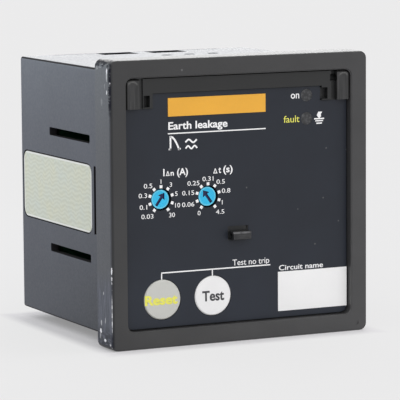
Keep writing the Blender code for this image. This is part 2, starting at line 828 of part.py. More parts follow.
def make_noses():
    """Catches on the side walls that snap into the frame's skirt."""
    bm = bmesh.new()
    near = y_at(HOUSING_FACE + NOSE_START)
    for side in (-1, 1):
        made = bmesh.ops.create_cube(bm, size=1.0)
        bmesh.ops.scale(bm, vec=(NOSE_PROUD + WALL / 2, NOSE_WIDTH, NOSE_LENGTH), verts=made["verts"])
        middle = (side * (BODY_HALF + (NOSE_PROUD - WALL / 2) / 2), near + NOSE_WIDTH / 2, MID)
        bmesh.ops.translate(bm, vec=middle, verts=made["verts"])
    return place("catch_noses", bm, CUTTERS)


def make_rating_label():
    base = -BODY_HALF + LABEL_RECESS - SKIN_GAP
    label = block(
        "rating_label",
        (base - LABEL_THICKNESS, base),
        (LABEL_START + LABEL_GAP, LABEL_START + LABEL_LENGTH - LABEL_GAP),
        (MID - LABEL_HEIGHT / 2 + LABEL_GAP, MID + LABEL_HEIGHT / 2 - LABEL_GAP),
        PART,
        corner=LABEL_CORNER - LABEL_GAP,
        along="X",
    )
    finish(label, material("label_silver", (0.62, 0.64, 0.52), 0.4))


def arrow_cutter(name, x, z, angle):
    """The arrow-shaped screwdriver slot in a dial, pointing at its setting."""
    curve = bpy.data.curves.new(name, "CURVE")
    curve.dimensions = "2D"
    curve.fill_mode = "BOTH"
    curve.extrude = (BEYOND + ARROW_DEPTH) / 2
    half = ARROW_WIDTH / 2
    neck = ARROW_REACH - ARROW_HEAD_LENGTH
    outline = [
        (-ARROW_REACH, -half),
        (neck, -half),
        (neck, -ARROW_HEAD),
        (ARROW_REACH, 0.0),
        (neck, ARROW_HEAD),
        (neck, half),
        (-ARROW_REACH, half),
    ]
    spline = curve.splines.new("POLY")
    spline.points.add(len(outline) - 1)
    for point, (along, across) in zip(spline.points, outline):
        point.co = (along, across, 0.0, 1.0)
    spline.use_cyclic_u = True
    guide = bpy.data.objects.new(name + "_guide", curve)
    CUTTERS.objects.link(guide)
    guide.location = (x, y_at(FILM_FACE + DIAL_SUNK + ARROW_DEPTH) - curve.extrude, z)
    guide.rotation_euler = (math.pi / 2, -angle, 0.0)
    return as_mesh(guide, name)


def as_mesh(guide, name):
    """A mesh object in place of a curve, with its loose caps welded on."""
    bpy.context.view_layer.update()
    graph = bpy.context.evaluated_depsgraph_get()
    mesh = bpy.data.meshes.new_from_object(guide.evaluated_get(graph))
    bm = bmesh.new()
    bm.from_mesh(mesh)
    bmesh.ops.remove_doubles(bm, verts=bm.verts, dist=WELD)
    bmesh.ops.recalc_face_normals(bm, faces=bm.faces)
    obj = place(name, bm, CUTTERS)
    obj.matrix_world = guide.matrix_world.copy()
    bpy.data.objects.remove(guide)
    bpy.data.meshes.remove(mesh)
    return obj


def make_dials():
    """Each setting dial: a blue head level with the film, and a shaft down into its rotary switch."""
    blue = material("dial_blue", (0.03, 0.42, 0.72), 0.4)
    grey = material("switch_grey", (0.2, 0.2, 0.21), 0.5)
    face = FILM_FACE + DIAL_SUNK
    head_end = face + DIAL_HEAD
    for name, (x, z, angle) in DIALS.items():
        profile = [
            (0, -face),
            (DIAL_RADIUS - DIAL_EDGE, -face),
            (DIAL_RADIUS, -face - DIAL_EDGE),
            (DIAL_RADIUS, -head_end),
            (DIAL_SHAFT_RADIUS, -head_end),
            (DIAL_SHAFT_RADIUS, -head_end - DIAL_SHAFT),
            (0, -head_end - DIAL_SHAFT),
        ]
        dial = turned(name + "_dial", (x, FRONT, z), "front", profile, PART)
        cut(dial, arrow_cutter(name + "_arrow", x, z, angle))
        finish(dial, blue)
        half = ROTARY_SIDE / 2
        body = block(
            name + "_switch",
            (x - half, x + half),
            (SWITCH_FACE, SWITCH_FACE + SWITCH_DEPTH),
            (z - half, z + half),
            PART,
            corner=ROTARY_CORNER,
            steps=SHORT_CORNER_STEPS,
        )
        well = rods(
            name + "_switch_well",
            [(x, z)],
            DIAL_RADIUS + GAP,
            (SWITCH_FACE - BEYOND, head_end + GAP),
            CUTTERS,
        )
        bore = rods(
            name + "_switch_bore",
            [(x, z)],
            DIAL_SHAFT_RADIUS + GAP,
            (head_end, head_end + DIAL_SHAFT + GAP),
            CUTTERS,
            SMALL_STEPS,
        )
        cut(body, well, bore)
        finish(body, grey)


def make_buttons():
    """Each push button: a round cap with a collar behind the plate, and a stem down into its switch."""
    caps = {"reset": (0.62, 0.63, 0.61), "test": (0.86, 0.86, 0.85)}
    black = material("tact_black", (0.03, 0.03, 0.03), 0.5)
    face = FILM_FACE - BUTTON_PROUD
    collar = PLATE_BACK + GAP
    collar_end = collar + BUTTON_COLLAR_DEPTH
    stem_end = collar_end + BUTTON_STEM
    tact_back = FRONT_BOARD_FACE - GAP
    tact_face = tact_back - TACT_DEPTH
    for name, (x, z) in BUTTONS.items():
        profile = [
            (0, -face),
            (BUTTON_RADIUS - BUTTON_EDGE, -face),
            (BUTTON_RADIUS, -face - BUTTON_EDGE),
            (BUTTON_RADIUS, -collar),
            (BUTTON_RADIUS + BUTTON_COLLAR, -collar),
            (BUTTON_RADIUS + BUTTON_COLLAR, -collar_end),
            (BUTTON_STEM_RADIUS, -collar_end),
            (BUTTON_STEM_RADIUS, -stem_end),
            (0, -stem_end),
        ]
        button = turned(name + "_button", (x, FRONT, z), "front", profile, PART)
        finish(button, material(name + "_cap", caps[name], 0.45))
        half = TACT_SIDE / 2
        body = block(
            name + "_switch",
            (x - half, x + half),
            (tact_face, tact_back),
            (z - half, z + half),
            PART,
            corner=TACT_CORNER,
            steps=SHORT_CORNER_STEPS,
        )
        bore = rods(
            name + "_switch_bore",
            [(x, z)],
            BUTTON_STEM_RADIUS + GAP,
            (tact_face - BEYOND, stem_end + BUTTON_TRAVEL + GAP),
            CUTTERS,
            SMALL_STEPS,
        )
        cut(body, bore)
        finish(body, black)


def make_leds():
    """Each lamp: a domed lens in the plate, on a round holder that stands on the front board."""
    smoke = material("led_smoke", (0.1, 0.1, 0.11), 0.3)
    white = material("holder_white", (0.7, 0.7, 0.68), 0.5)
    crown = FILM_FACE + SKIN_GAP
    collar = crown + LED_LENGTH
    angles = [math.pi / 2 * step / DOME_STEPS for step in range(DOME_STEPS + 1)]
    dome = [(LED_RADIUS * math.sin(angle), -crown - LED_DOME * (1 - math.cos(angle))) for angle in angles]
    profile = dome + [
        (LED_RADIUS, -collar),
        (LED_RADIUS + LED_COLLAR, -collar),
        (LED_RADIUS + LED_COLLAR, -collar - LED_COLLAR_DEPTH),
        (0, -collar - LED_COLLAR_DEPTH),
    ]
    for name, (x, z) in LEDS.items():
        led = turned(name + "_led", (x, FRONT, z), "front", profile, PART, SMALL_STEPS)
        finish(led, smoke)
        holder = rods(
            name + "_led_holder",
            [(x, z)],
            LED_RADIUS + LED_COLLAR,
            (collar + LED_COLLAR_DEPTH + GAP, FRONT_BOARD_FACE - GAP),
            PART,
            SMALL_STEPS,
        )
        finish(holder, white)


def make_boards():
    green = material("board_green", (0.02, 0.16, 0.06), 0.4)
    half = INNER_HALF - FRONT_BOARD_MARGIN
    front = square(
        "front_board",
        half,
        (FRONT_BOARD_FACE, FRONT_BOARD_BACK),
        PART,
        corner=BOARD_CORNER,
        steps=SHORT_CORNER_STEPS,
    )
    holes = rods(
        "board_hole_cutter",
        BOSSES,
        BOARD_SCREW_RADIUS + GAP,
        (FRONT_BOARD_FACE - BEYOND, FRONT_BOARD_BACK + BEYOND),
        CUTTERS,
        SMALL_STEPS,
    )
    cut(front, holes)
    finish(front, green)
    main = block(
        "main_board", (-MAIN_HALF, MAIN_HALF), (MAIN_FRONT, MAIN_REAR), (MAIN_BOTTOM, MAIN_TOP), PART
    )
    finish(main, green)
    rear = square(
        "rear_board",
        INNER_HALF - REAR_BOARD_MARGIN,
        (REAR_BOARD_FACE, REAR_BOARD_BACK),
        PART,
        corner=BOARD_CORNER,
        steps=SHORT_CORNER_STEPS,
    )
    finish(rear, green)


def make_board_screws():
    """The screws that hold the front board to the plate's bosses."""
    steel = material("screw_steel", (0.55, 0.55, 0.56), 0.35, 1.0)
    base = FRONT_BOARD_BACK + GAP
    top = base + BOARD_SCREW_HEAD_HEIGHT
    end = base - BOARD_SCREW_LENGTH
    profile = [
        (0, top),
        (BOARD_SCREW_HEAD - BOARD_SCREW_EDGE, top),
        (BOARD_SCREW_HEAD, top - BOARD_SCREW_EDGE),
        (BOARD_SCREW_HEAD, base),
        (BOARD_SCREW_RADIUS, base),
        (BOARD_SCREW_RADIUS, end),
        (0, end),
    ]
    slots = slot_cutter("board_screw_slots", BOSSES, top, BOARD_SCREW_HEAD)
    for index, (x, z) in enumerate(BOSSES, 1):
        screw = turned(f"board_screw_{index}", (x, FRONT, z), "rear", profile, PART, SCREW_STEPS)
        cut(screw, slots)
        finish(screw, steel)


def slot_cutter(name, centres, top, reach):
    """Straight driver slots across rear-facing screw heads."""
    bm = bmesh.new()
    for x, z in centres:
        made = bmesh.ops.create_cube(bm, size=1.0)
        bmesh.ops.scale(
            bm, vec=(2 * reach + BEYOND, SCREW_SLOT_DEPTH + BEYOND, SCREW_SLOT), verts=made["verts"]
        )
        middle = y_at(top - SCREW_SLOT_DEPTH) + (SCREW_SLOT_DEPTH + BEYOND) / 2
        bmesh.ops.translate(bm, vec=(x, middle, z), verts=made["verts"])
    return place(name, bm, CUTTERS)


def make_board_parts():
    """The chip behind the front board, the connectors between the boards, and the main board's parts."""
    black = material("part_black", (0.025, 0.025, 0.028), 0.5)
    half = CHIP_SIDE / 2
    rise = MID + CHIP_RISE
    chip = block(
        "control_chip",
        (-half, half),
        (FRONT_BOARD_BACK + GAP, FRONT_BOARD_BACK + GAP + CHIP_HEIGHT),
        (rise - half, rise + half),
        PART,
        corner=CHIP_CORNER,
        steps=1,
    )
    finish(chip, black)
    link = block(
        "front_connector",
        (-CONNECTOR_WIDTH / 2, CONNECTOR_WIDTH / 2),
        (FRONT_BOARD_BACK + GAP, MAIN_FRONT + CONNECTOR_OVERLAP),
        (PARTS_BASE, PARTS_BASE + CONNECTOR_HEIGHT),
        PART,
    )
    finish(link, black)
    half = PARTS_HALF - 2 * CAPACITOR_RADIUS - CAPACITOR_SPACING - REAR_CONNECTOR_SPACING
    rear_link = block(
        "rear_connector",
        (-half, half),
        (MAIN_REAR - REAR_CONNECTOR_OVERLAP, REAR_BOARD_FACE - GAP),
        (PARTS_BASE, PARTS_BASE + CONNECTOR_HEIGHT),
        PART,
    )
    finish(rear_link, black)
    make_output_relays()
    make_transformer()
    make_capacitors()


def make_output_relays():
    blue = material("relay_blue", (0.05, 0.12, 0.3), 0.35)
    for index in range(2):
        left = -PARTS_HALF + index * (RELAY_WIDTH + PART_SPACING)
        relay = block(
            f"output_relay_{index + 1}",
            (left, left + RELAY_WIDTH),
            (PARTS_FRONT, PARTS_BACK),
            (PARTS_BASE, PARTS_BASE + RELAY_HEIGHT),
            PART,
            corner=RELAY_CORNER,
            along="Z",
            steps=SHORT_CORNER_STEPS,
            back=RELAY_ROUND,
        )
        finish(relay, blue)


def make_transformer():
    """The supply transformer: a stacked steel core with two windows, and a coil round its middle leg."""
    middle = PARTS_HALF - CORE_WIDTH / 2
    stack = (PARTS_FRONT + COIL_WALL + GAP, PARTS_BACK - COIL_WALL - GAP)
    top = PARTS_BASE + CORE_HEIGHT
    core = block(
        "transformer_core",
        (middle - CORE_WIDTH / 2, middle + CORE_WIDTH / 2),
        stack,
        (PARTS_BASE, top),
        PART,
    )
    opening = (PARTS_BASE + CORE_YOKE, top - CORE_YOKE)
    for side in (-1, 1):
        window = block(
            "core_window_cutter",
            (middle + side * CORE_LEG / 2, middle + side * (CORE_WIDTH / 2 - CORE_OUTER_LEG)),
            (stack[0] - BEYOND, stack[1] + BEYOND),
            opening,
            CUTTERS,
        )
        cut(core, window)
    finish(core, material("core_steel", (0.3, 0.3, 0.31), 0.45, 1.0))
    outer = CORE_LEG / 2 + GAP + COIL_WALL
    coil = block(
        "transformer_coil",
        (middle - outer, middle + outer),
        (PARTS_FRONT, PARTS_BACK),
        (opening[0] + GAP, opening[1] - GAP),
        PART,
        corner=COIL_CORNER,
        along="Z",
        steps=SHORT_CORNER_STEPS,
    )
    bore = block(
        "coil_bore_cutter",
        (middle - CORE_LEG / 2 - GAP, middle + CORE_LEG / 2 + GAP),
        (stack[0] - GAP, stack[1] + GAP),
        (opening[0] - BEYOND, opening[1] + BEYOND),
        CUTTERS,
    )
    cut(coil, bore)
    finish(coil, material("coil_copper", (0.5, 0.2, 0.08), 0.4))


def make_capacitors():
    sleeve = material("capacitor_sleeve", (0.06, 0.07, 0.12), 0.35)
    groove = CAPACITOR_HEIGHT - CAPACITOR_GROOVE_DROP
    profile = [
        (0, CAPACITOR_HEIGHT),
        (CAPACITOR_RADIUS - CAPACITOR_GROOVE, CAPACITOR_HEIGHT),
        (CAPACITOR_RADIUS, CAPACITOR_HEIGHT - CAPACITOR_GROOVE),
        (CAPACITOR_RADIUS, groove + CAPACITOR_GROOVE),
        (CAPACITOR_RADIUS - CAPACITOR_GROOVE, groove),
        (CAPACITOR_RADIUS, groove - CAPACITOR_GROOVE),
        (CAPACITOR_RADIUS, 0),
        (0, 0),
    ]
    for index in range(2):
        x = PARTS_HALF - CAPACITOR_RADIUS - index * CAPACITOR_SPACING
        place_of = (x, y_at(CAPACITOR_DEPTH), PARTS_BASE)
        can = turned(f"supply_capacitor_{index + 1}", place_of, "up", profile, PART, SMALL_STEPS)
        finish(can, sleeve)
    box = block(
        "filter_capacitor",
        (-PARTS_HALF, -PARTS_HALF + FILTER_WIDTH),
        (CAPACITOR_DEPTH - FILTER_LENGTH / 2, CAPACITOR_DEPTH + FILTER_LENGTH / 2),
        (PARTS_BASE, PARTS_BASE + FILTER_HEIGHT),
        PART,
    )
    finish(box, material("filter_yellow", (0.6, 0.5, 0.12), 0.4))


def pole_centres(side, offset):
    first = -(TERMINAL_POLES - 1) * TERMINAL_PITCH / 2
    z = MID + side * (TERMINAL_OFFSET + offset)
    return [(first + index * TERMINAL_PITCH, z) for index in range(TERMINAL_POLES)]


def wire_entries(name, side):
    bm = bmesh.new()
    reach = WIRE_ENTRY_DEPTH + BEYOND
    for x, z in pole_centres(side, -WIRE_OFFSET):
        made = bmesh.ops.create_cube(bm, size=1.0)
        bmesh.ops.scale(bm, vec=(WIRE_ENTRY, reach, WIRE_ENTRY), verts=made["verts"])
        middle = y_at(TERMINAL_BACK + BEYOND) - reach / 2
        bmesh.ops.translate(bm, vec=(x, middle, z), verts=made["verts"])
    return place(name, bm, CUTTERS)


def make_terminals():
    """Two rows of screw terminals in the rear wall, each pole with a wire entry and its own screw."""
    dark = material("terminal_black", (0.03, 0.032, 0.035), 0.5)
    steel = material("terminal_steel", (0.6, 0.6, 0.58), 0.35, 1.0)
    well_floor = TERMINAL_BACK - SCREW_WELL_DEPTH
    seat = well_floor + GAP
    top = seat + SCREW_HEAD_HEIGHT
    end = seat - SCREW_LENGTH
    profile = [
        (0, top),
        (SCREW_HEAD_RADIUS - SCREW_EDGE, top),
        (SCREW_HEAD_RADIUS, top - SCREW_EDGE),
        (SCREW_HEAD_RADIUS, seat),
        (SCREW_SHANK_RADIUS, seat),
        (SCREW_SHANK_RADIUS, end),
        (0, end),
    ]
    number = 0
    for row, side in TERMINAL_ROWS.items():
        middle = MID + side * TERMINAL_OFFSET
        body = block(
            row + "_terminal_block",
            (-TERMINAL_HALF, TERMINAL_HALF),
            (TERMINAL_FACE, TERMINAL_BACK),
            (middle - TERMINAL_HEIGHT / 2, middle + TERMINAL_HEIGHT / 2),
            PART,
        )
        centres = pole_centres(side, SCREW_OFFSET)
        wells = rods(
            row + "_screw_wells",
            centres,
            SCREW_WELL_RADIUS,
            (well_floor, TERMINAL_BACK + BEYOND),
            CUTTERS,
            SCREW_STEPS,
        )
        threads = rods(
            row + "_screw_bores",
            centres,
            SCREW_SHANK_RADIUS + GAP,
            (end - GAP, well_floor + BEYOND / 2),
            CUTTERS,
            SCREW_STEPS,
        )
        cut(body, wells, threads, wire_entries(row + "_wire_entries", side))
        finish(body, dark)
        slots = slot_cutter(row + "_screw_slots", centres, top, SCREW_HEAD_RADIUS)
        for x, z in centres:
            number += 1
            screw = turned(f"terminal_screw_{number}", (x, FRONT, z), "rear", profile, PART, SCREW_STEPS)
            cut(screw, slots)
            finish(screw, steel)


clear_scene()
PART = new_collection("protection_relay")
CUTTERS = new_collection("cutters")
make_front_frame()
make_face_plate()
make_face_film()
make_printed_fields()
make_housing()
make_rating_label()
make_dials()
make_buttons()
make_leds()
make_boards()
make_board_screws()
make_board_parts()
make_terminals()
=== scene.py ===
"""The looks of the flush-mount protection relay: finishes, print, wear, light and the photograph's camera.

Metres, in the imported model's own frame. X runs to the right as seen from the front, Y into the depth and
Z up. A depth below is measured from the front rim backwards, as in the part's source.
"""

import json
import math

import bmesh
import bpy
from mathutils import Matrix, Vector


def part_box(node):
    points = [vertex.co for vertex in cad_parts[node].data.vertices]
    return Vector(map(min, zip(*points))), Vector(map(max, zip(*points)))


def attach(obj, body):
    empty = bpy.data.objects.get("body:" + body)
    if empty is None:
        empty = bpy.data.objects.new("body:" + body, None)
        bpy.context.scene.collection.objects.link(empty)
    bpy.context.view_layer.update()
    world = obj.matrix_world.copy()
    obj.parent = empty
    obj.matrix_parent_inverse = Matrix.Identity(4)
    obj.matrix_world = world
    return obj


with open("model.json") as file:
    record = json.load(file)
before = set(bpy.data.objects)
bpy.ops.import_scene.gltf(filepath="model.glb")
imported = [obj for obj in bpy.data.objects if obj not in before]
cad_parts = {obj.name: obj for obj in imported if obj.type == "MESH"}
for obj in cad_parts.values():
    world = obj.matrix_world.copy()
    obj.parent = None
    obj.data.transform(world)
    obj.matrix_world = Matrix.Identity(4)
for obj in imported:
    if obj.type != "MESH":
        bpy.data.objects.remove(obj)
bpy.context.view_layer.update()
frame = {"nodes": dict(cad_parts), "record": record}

MM = 0.001

# Camera, fitted to the corners of the front and of the body
AZIMUTH = math.radians(-26.026)
ELEVATION = math.radians(6.914)
ROLL = math.radians(-0.41)
DISTANCE = 700.4 * MM
AIM = Vector((-11.577, 0.0, 36.465)) * MM
LENS = 253.035
SENSOR = 36.0
CLIP_START = 0.05
CLIP_END = 50.0

# Where things lie: the rim's plane, the middle of the front and the faces behind the rim
RIM_LOW, RIM_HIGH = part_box("front_frame")
RIM_LEFT = RIM_LOW.x
RIM_Y = RIM_LOW.y
MID = (RIM_LOW.z + RIM_HIGH.z) / 2
FILM_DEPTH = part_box("face_film")[0].y - RIM_Y
BUTTON_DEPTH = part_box("reset_button")[0].y - RIM_Y
DIAL_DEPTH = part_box("current_dial")[0].y - RIM_Y
REAR_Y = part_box("housing")[1].y
BODY_HALF = 33.4 * MM
BODY_LOW = Vector((-BODY_HALF, RIM_Y, MID - BODY_HALF))
BODY_HIGH = Vector((BODY_HALF, REAR_Y, MID + BODY_HALF))
LABEL_LOW, LABEL_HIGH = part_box("rating_label")
ACROSS = Vector((1.0, 0.0, 0.0)) * MM

# Print
PRINT_PROUD = 0.04 * MM
PRINT_SUNK = 0.01 * MM
STROKE = 0.45 * MM

# The grey of the photograph's background, and how much of it the camera sees on the floor. Close to the
# body that share is small, so that the object's own shadow shows there.
BACKGROUND = 0.838
FLOOR_SHOWN = 0.86
NEAR_SHOWN = 0.2
SHADOW_START = 2.0 * MM
SHADOW_END = 6.5 * MM
FLOOR_SIZE = 12.0
FLOOR_GAP = 0.05 * MM
PAPER_GREY = (0.71, 0.695, 0.72)


def centre_of(node_name):
    low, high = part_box(node_name)
    return (low + high) / 2


def y_at(depth):
    return RIM_Y + depth


# Shader nodes

# The part of a noise pattern's values that a tone or a gloss is read from
NOISE_RANGE = (0.3, 0.7)

# Where a spot's edge lies, in shares of its half size
SPOT_EDGE = (0.7, 1.1)


def node(tree, kind, inputs=(), **settings):
    """A shader node. An input is a fixed value or another node's output."""
    made = tree.nodes.new("ShaderNode" + kind)
    for key, value in settings.items():
        setattr(made, key, value)
    for key, value in dict(inputs).items():
        if isinstance(value, bpy.types.NodeSocket):
            tree.links.new(value, made.inputs[key])
        else:
            made.inputs[key].default_value = value
    return made


def math_node(tree, operation, first, second=0.0):
    return node(tree, "Math", {0: first, 1: second}, operation=operation).outputs[0]


def times(tree, first, *others):
    """The product of some shares."""
    for other in others:
        first = math_node(tree, "MULTIPLY", first, other)
    return first


def most(tree, first, *others):
    """The largest of some values."""
    for other in others:
        first = math_node(tree, "MAXIMUM", first, other)
    return first


def vector_node(tree, operation, first, second=(0.0, 0.0, 0.0)):
    return node(tree, "VectorMath", {0: first, 1: second}, operation=operation)


def split(tree, vector):
    return node(tree, "SeparateXYZ", {0: vector}).outputs


def noise(tree, place, size, detail=2.0, roughness=0.5):
    inputs = {"Vector": place, "Scale": 1 / size, "Detail": detail, "Roughness": roughness}
    return node(tree, "TexNoise", inputs).outputs[0]


def ramp(tree, value, low, high, to_low=0.0, to_high=1.0):
    inputs = {"Value": value, "From Min": low, "From Max": high, "To Min": to_low, "To Max": to_high}
    return node(tree, "MapRange", inputs).outputs[0]


def fade(tree, value, start, end, share=1.0):
    """A share that holds up to one value and falls to 0 at another."""
    return ramp(tree, value, start, end, share, 0.0)


def mix(tree, share, first, second):
    """Two colours mixed by a share, each a colour or an output."""
    made = node(tree, "Mix", {0: share}, data_type="RGBA")
    for index, colour in ((6, first), (7, second)):
        if isinstance(colour, bpy.types.NodeSocket):
            tree.links.new(colour, made.inputs[index])
        else:
            made.inputs[index].default_value = (*colour, 1.0)
    return made.outputs[2]


def toned(tree, base, factor):
    """A colour times a factor that changes over the surface."""
    return node(tree, "VectorMath", {0: base, "Scale": factor}, operation="SCALE").outputs[0]


def scaled(colour, factor):
    return tuple(min(1.0, channel * factor) for channel in colour)


def deeper_than(tree, place, depth, soft=0.1 * MM):
    """1 where a point lies deeper behind the rim than a depth, else 0."""
    return ramp(tree, split(tree, place)[1], y_at(depth), y_at(depth + soft))


def shallower_than(tree, place, depth):
    """1 where a point lies less deep behind the rim than a depth, else 0."""
    return math_node(tree, "SUBTRACT", 1.0, deeper_than(tree, place, depth))


def past_box(tree, place, low, high):
    """How far a point lies outside a box, or below zero how far inside it."""
    from_middle = vector_node(tree, "SUBTRACT", place, (low + high) / 2).outputs[0]
    away = vector_node(tree, "ABSOLUTE", from_middle).outputs[0]
    past = split(tree, vector_node(tree, "SUBTRACT", away, (high - low) / 2).outputs[0])
    return most(tree, past[0], past[1], past[2])


def stretched(tree, place, factors):
    """Coordinates for a pattern drawn out along an axis whose factor is below 1."""
    return vector_node(tree, "MULTIPLY", place, factors).outputs[0]


def spot(tree, place, ragged, centre, half):
    """1 inside an oval spot with a ragged edge, else 0."""
    from_centre = vector_node(tree, "SUBTRACT", place, centre).outputs[0]
    reach = vector_node(tree, "LENGTH", vector_node(tree, "DIVIDE", from_centre, half).outputs[0])
    return fade(tree, math_node(tree, "ADD", reach.outputs["Value"], ragged), *SPOT_EDGE)


def ragged_edge(tree, place):
    """How far a spot's edge strays, in shares of its half size."""
    return ramp(tree, noise(tree, place, 0.35 * MM, 3.0), *NOISE_RANGE, -0.3, 0.3)


def new_material(name, **fixed):
    """A Principled material, with fixed values on the shader's own sockets, and its object coordinates."""
    made = bpy.data.materials.new(name)
    made.use_nodes = True
    tree = made.node_tree
    shader = tree.nodes["Principled BSDF"]
    for key, value in fixed.items():
        shader.inputs[key.replace("_", " ")].default_value = value
    place = node(tree, "TexCoord").outputs["Object"]
    return made, tree, shader, place


def set_surface(tree, shader, base, rough, height, strength, distance):
    """Links a colour, a roughness and bumps of a real height to the shader."""
    tree.links.new(base, shader.inputs["Base Color"])
    tree.links.new(rough, shader.inputs["Roughness"])
    bump = node(tree, "Bump", {"Strength": strength, "Distance": distance, "Height": height})
    tree.links.new(bump.outputs[0], shader.inputs["Normal"])


# Moulded plastic

SLOW_SHARE = 0.7
FINE_SIZE = 0.6 * MM
GLOSS_SPREAD = 0.08
GRAIN_STRENGTH = 0.6


def moulded(
    name,
    colour,
    roughness=0.45,
    tone=0.12,
    tone_size=9 * MM,
    grain=0.12 * MM,
    grain_depth=0.006 * MM,
    wear_and_light=None,
    **fixed,
):
    """Moulded plastic: slow tone changes, uneven gloss and a fine grain. An optional function may change
    the colour, with wear and with painted light and shade.
    """
    made, tree, shader, place = new_material(name, **fixed)
    slow = noise(tree, place, tone_size, 3.0)
    fine = noise(tree, place, FINE_SIZE, 4.0, 0.6)
    share = math_node(tree, "ADD", times(tree, slow, SLOW_SHARE), times(tree, fine, 1 - SLOW_SHARE))
    share = ramp(tree, share, *NOISE_RANGE)
    base = mix(tree, share, scaled(colour, 1 - tone), scaled(colour, 1 + tone))
    rough = ramp(tree, fine, *NOISE_RANGE, roughness - GLOSS_SPREAD, roughness + GLOSS_SPREAD)
    if wear_and_light:
        base, rough = wear_and_light(tree, place, base, rough)
    set_surface(tree, shader, base, rough, noise(tree, place, grain, 2.0), GRAIN_STRENGTH, grain_depth)
    return made


def set_gloss(made, gloss_at):
    """Gives a moulded plastic a reflection that changes with the place."""
    tree = made.node_tree
    gloss = gloss_at(tree, node(tree, "TexCoord").outputs["Object"])
    tree.links.new(gloss, tree.nodes["Principled BSDF"].inputs["Specular IOR Level"])
    return made


def plain(name, colour, roughness=0.45, **fixed):
    return lambda: moulded(name, colour, roughness, **fixed)


# Dust: its grey, its share of the colour, and the specks on the rim and on the film as (x, z) in mm
DUST_GREY = (0.15, 0.15, 0.15)
DUST_SHARE = 0.6
RIM_SPECKS = ((-16.3, 69.1),)
RIM_SPECK_SIZE = 0.3 * MM
FILM_SPECKS = (
    (25.3, 47.4),
    (31.2, 46.7),
    (24.4, 34.7),
    (17.1, 32.2),
    (2.5, 38.6),
    (22.0, 23.0),
    (28.8, 28.5),
)
FILM_SPECK_SIZE = 0.22 * MM


def specks(tree, place, ragged, base, spots, y, size):
    """Small pale specks of dust at some (x, z) places in mm."""
    for x, z in spots:
        speck = spot(tree, place, ragged, (x * MM, y, z * MM), (size, size, size))
        base = mix(tree, times(tree, speck, DUST_SHARE), base, DUST_GREY)
    return base


# The frame

# Chips on the frame's left side and its front edge, and three painted highlights near its top corner:
# depth, height, half depth and half height in mm, and how pale each is
CHIPS_AND_HIGHLIGHTS = (
    (1.55, 69.4, 0.36, 0.75, 1.0),
    (1.65, 68.2, 0.3, 1.3, 0.5),
    (1.65, 64.2, 0.32, 0.55, 0.7),
    (-0.1, 68.6, 0.2, 1.4, 0.35),
    (-0.05, 66.6, 0.3, 0.4, 0.8),
    (2.85, 65.7, 0.3, 0.8, 0.12),
    (4.75, 61.7, 0.5, 1.0, 0.1),
    (0.1, 20.2, 0.2, 1.05, 0.9),
    (0.1, 18.3, 0.17, 0.6, 0.75),
    (0.1, 17.2, 0.15, 0.35, 0.5),
    (0.0, 15.5, 0.2, 0.3, 0.3),
    # The next three are painted highlights near the top corner, not chips
    (7.3, 70.0, 0.3, 0.6, 0.25),
    (4.6, 71.0, 1.2, 0.16, 0.25),
    (5.6, 70.2, 0.9, 0.14, 0.15),
    (4.85, 14.1, 0.3, 0.45, 0.4),
    (3.85, 7.4, 0.28, 0.8, 0.35),
    (6.3, 6.6, 0.4, 0.7, 0.45),
    (6.7, 4.5, 0.55, 0.6, 1.0),
    (6.9, 3.2, 0.3, 0.7, 0.4),
    (4.1, 2.4, 0.7, 0.42, 0.95),
    (1.0, 1.6, 0.4, 0.3, 0.65),
    (0.4, 0.95, 0.3, 0.25, 0.4),
)
CHIP_AND_HIGHLIGHT_PALE = (0.86, 0.87, 0.9)
CHIP_AND_HIGHLIGHT_REACH = 0.3 * MM

# The rubbed stretch of the front edge: its foot and top, its half width, how far its middle lies from
# the left side and behind the rim, and how pale its patches are
RUBBED_EDGE = (4.0 * MM, 14.3 * MM)
RUBBED_HALF = 0.15 * MM
RUBBED_ACROSS = 0.12 * MM
RUBBED_DEPTH = 0.1 * MM
RUBBED_PALE = (0.25, 0.75)

# The painted light on the rim: its tones from its darker to its paler corner
RIM_LIGHT_TONES = (0.78, 1.25)

# The frame's left side: its front edge, the side itself, painted paler and bluer as lit, its lower part,
# with painted shade, and the pale upright streaks on it, each with the two places between which it fades
EDGE_DARK = (0.006, 0.007, 0.01)
EDGE_SHARE = 0.8
EDGE_FADE = (0.6 * MM, 1.0 * MM)
SIDE_LIT_GREY = (0.048, 0.055, 0.07)
SIDE_SHARE = 0.8
SIDE_REACH = (0.05 * MM, 0.3 * MM)
# Painted shade on the side's lower part
LOW_SIDE_SHADE = (0.022, 0.032, 0.06)
LOW_SIDE_SHADE_SHARE = 0.6
LOW_SIDE_SHADE_FADE = (14 * MM, 20 * MM)
STREAK_PALE = (0.12, 0.13, 0.185)
STREAK_SHARE = 0.65
STREAK_FADE = (14 * MM, 19 * MM)
STREAKS_ABOVE = 0.12

# The dark rubbed patches: their colour, and the reflection beside and on them
PATCH_DARK = (0.012, 0.013, 0.02)
PATCH_GLOSS = (0.5, 0.05)

# Where those patches lie: at the top, at the foot and along the front edge. Each pair of heights, of
# depths or of distances from the left side is where a patch starts and stops to fade.
PATCH_SIZE = 0.7 * MM
TOP_PATCH_HEIGHTS = (69.9 * MM, 70.6 * MM)
TOP_PATCH_DEPTHS = (0.4 * MM, 0.9 * MM)
TOP_PATCH_REACH = (2 * MM, 3 * MM)
FOOT_PATCH_HEIGHTS = (3.5 * MM, 6.5 * MM)
FOOT_PATCH_REACH = (0.3 * MM, 0.8 * MM)
FOOT_PATCH_SHARE = 0.65
EDGE_PATCH_HEIGHTS = (57 * MM, 61 * MM)
EDGE_PATCH_DEPTHS = (0.6 * MM, 1.0 * MM)
EDGE_PATCH_REACH = (0.3 * MM, 0.6 * MM)


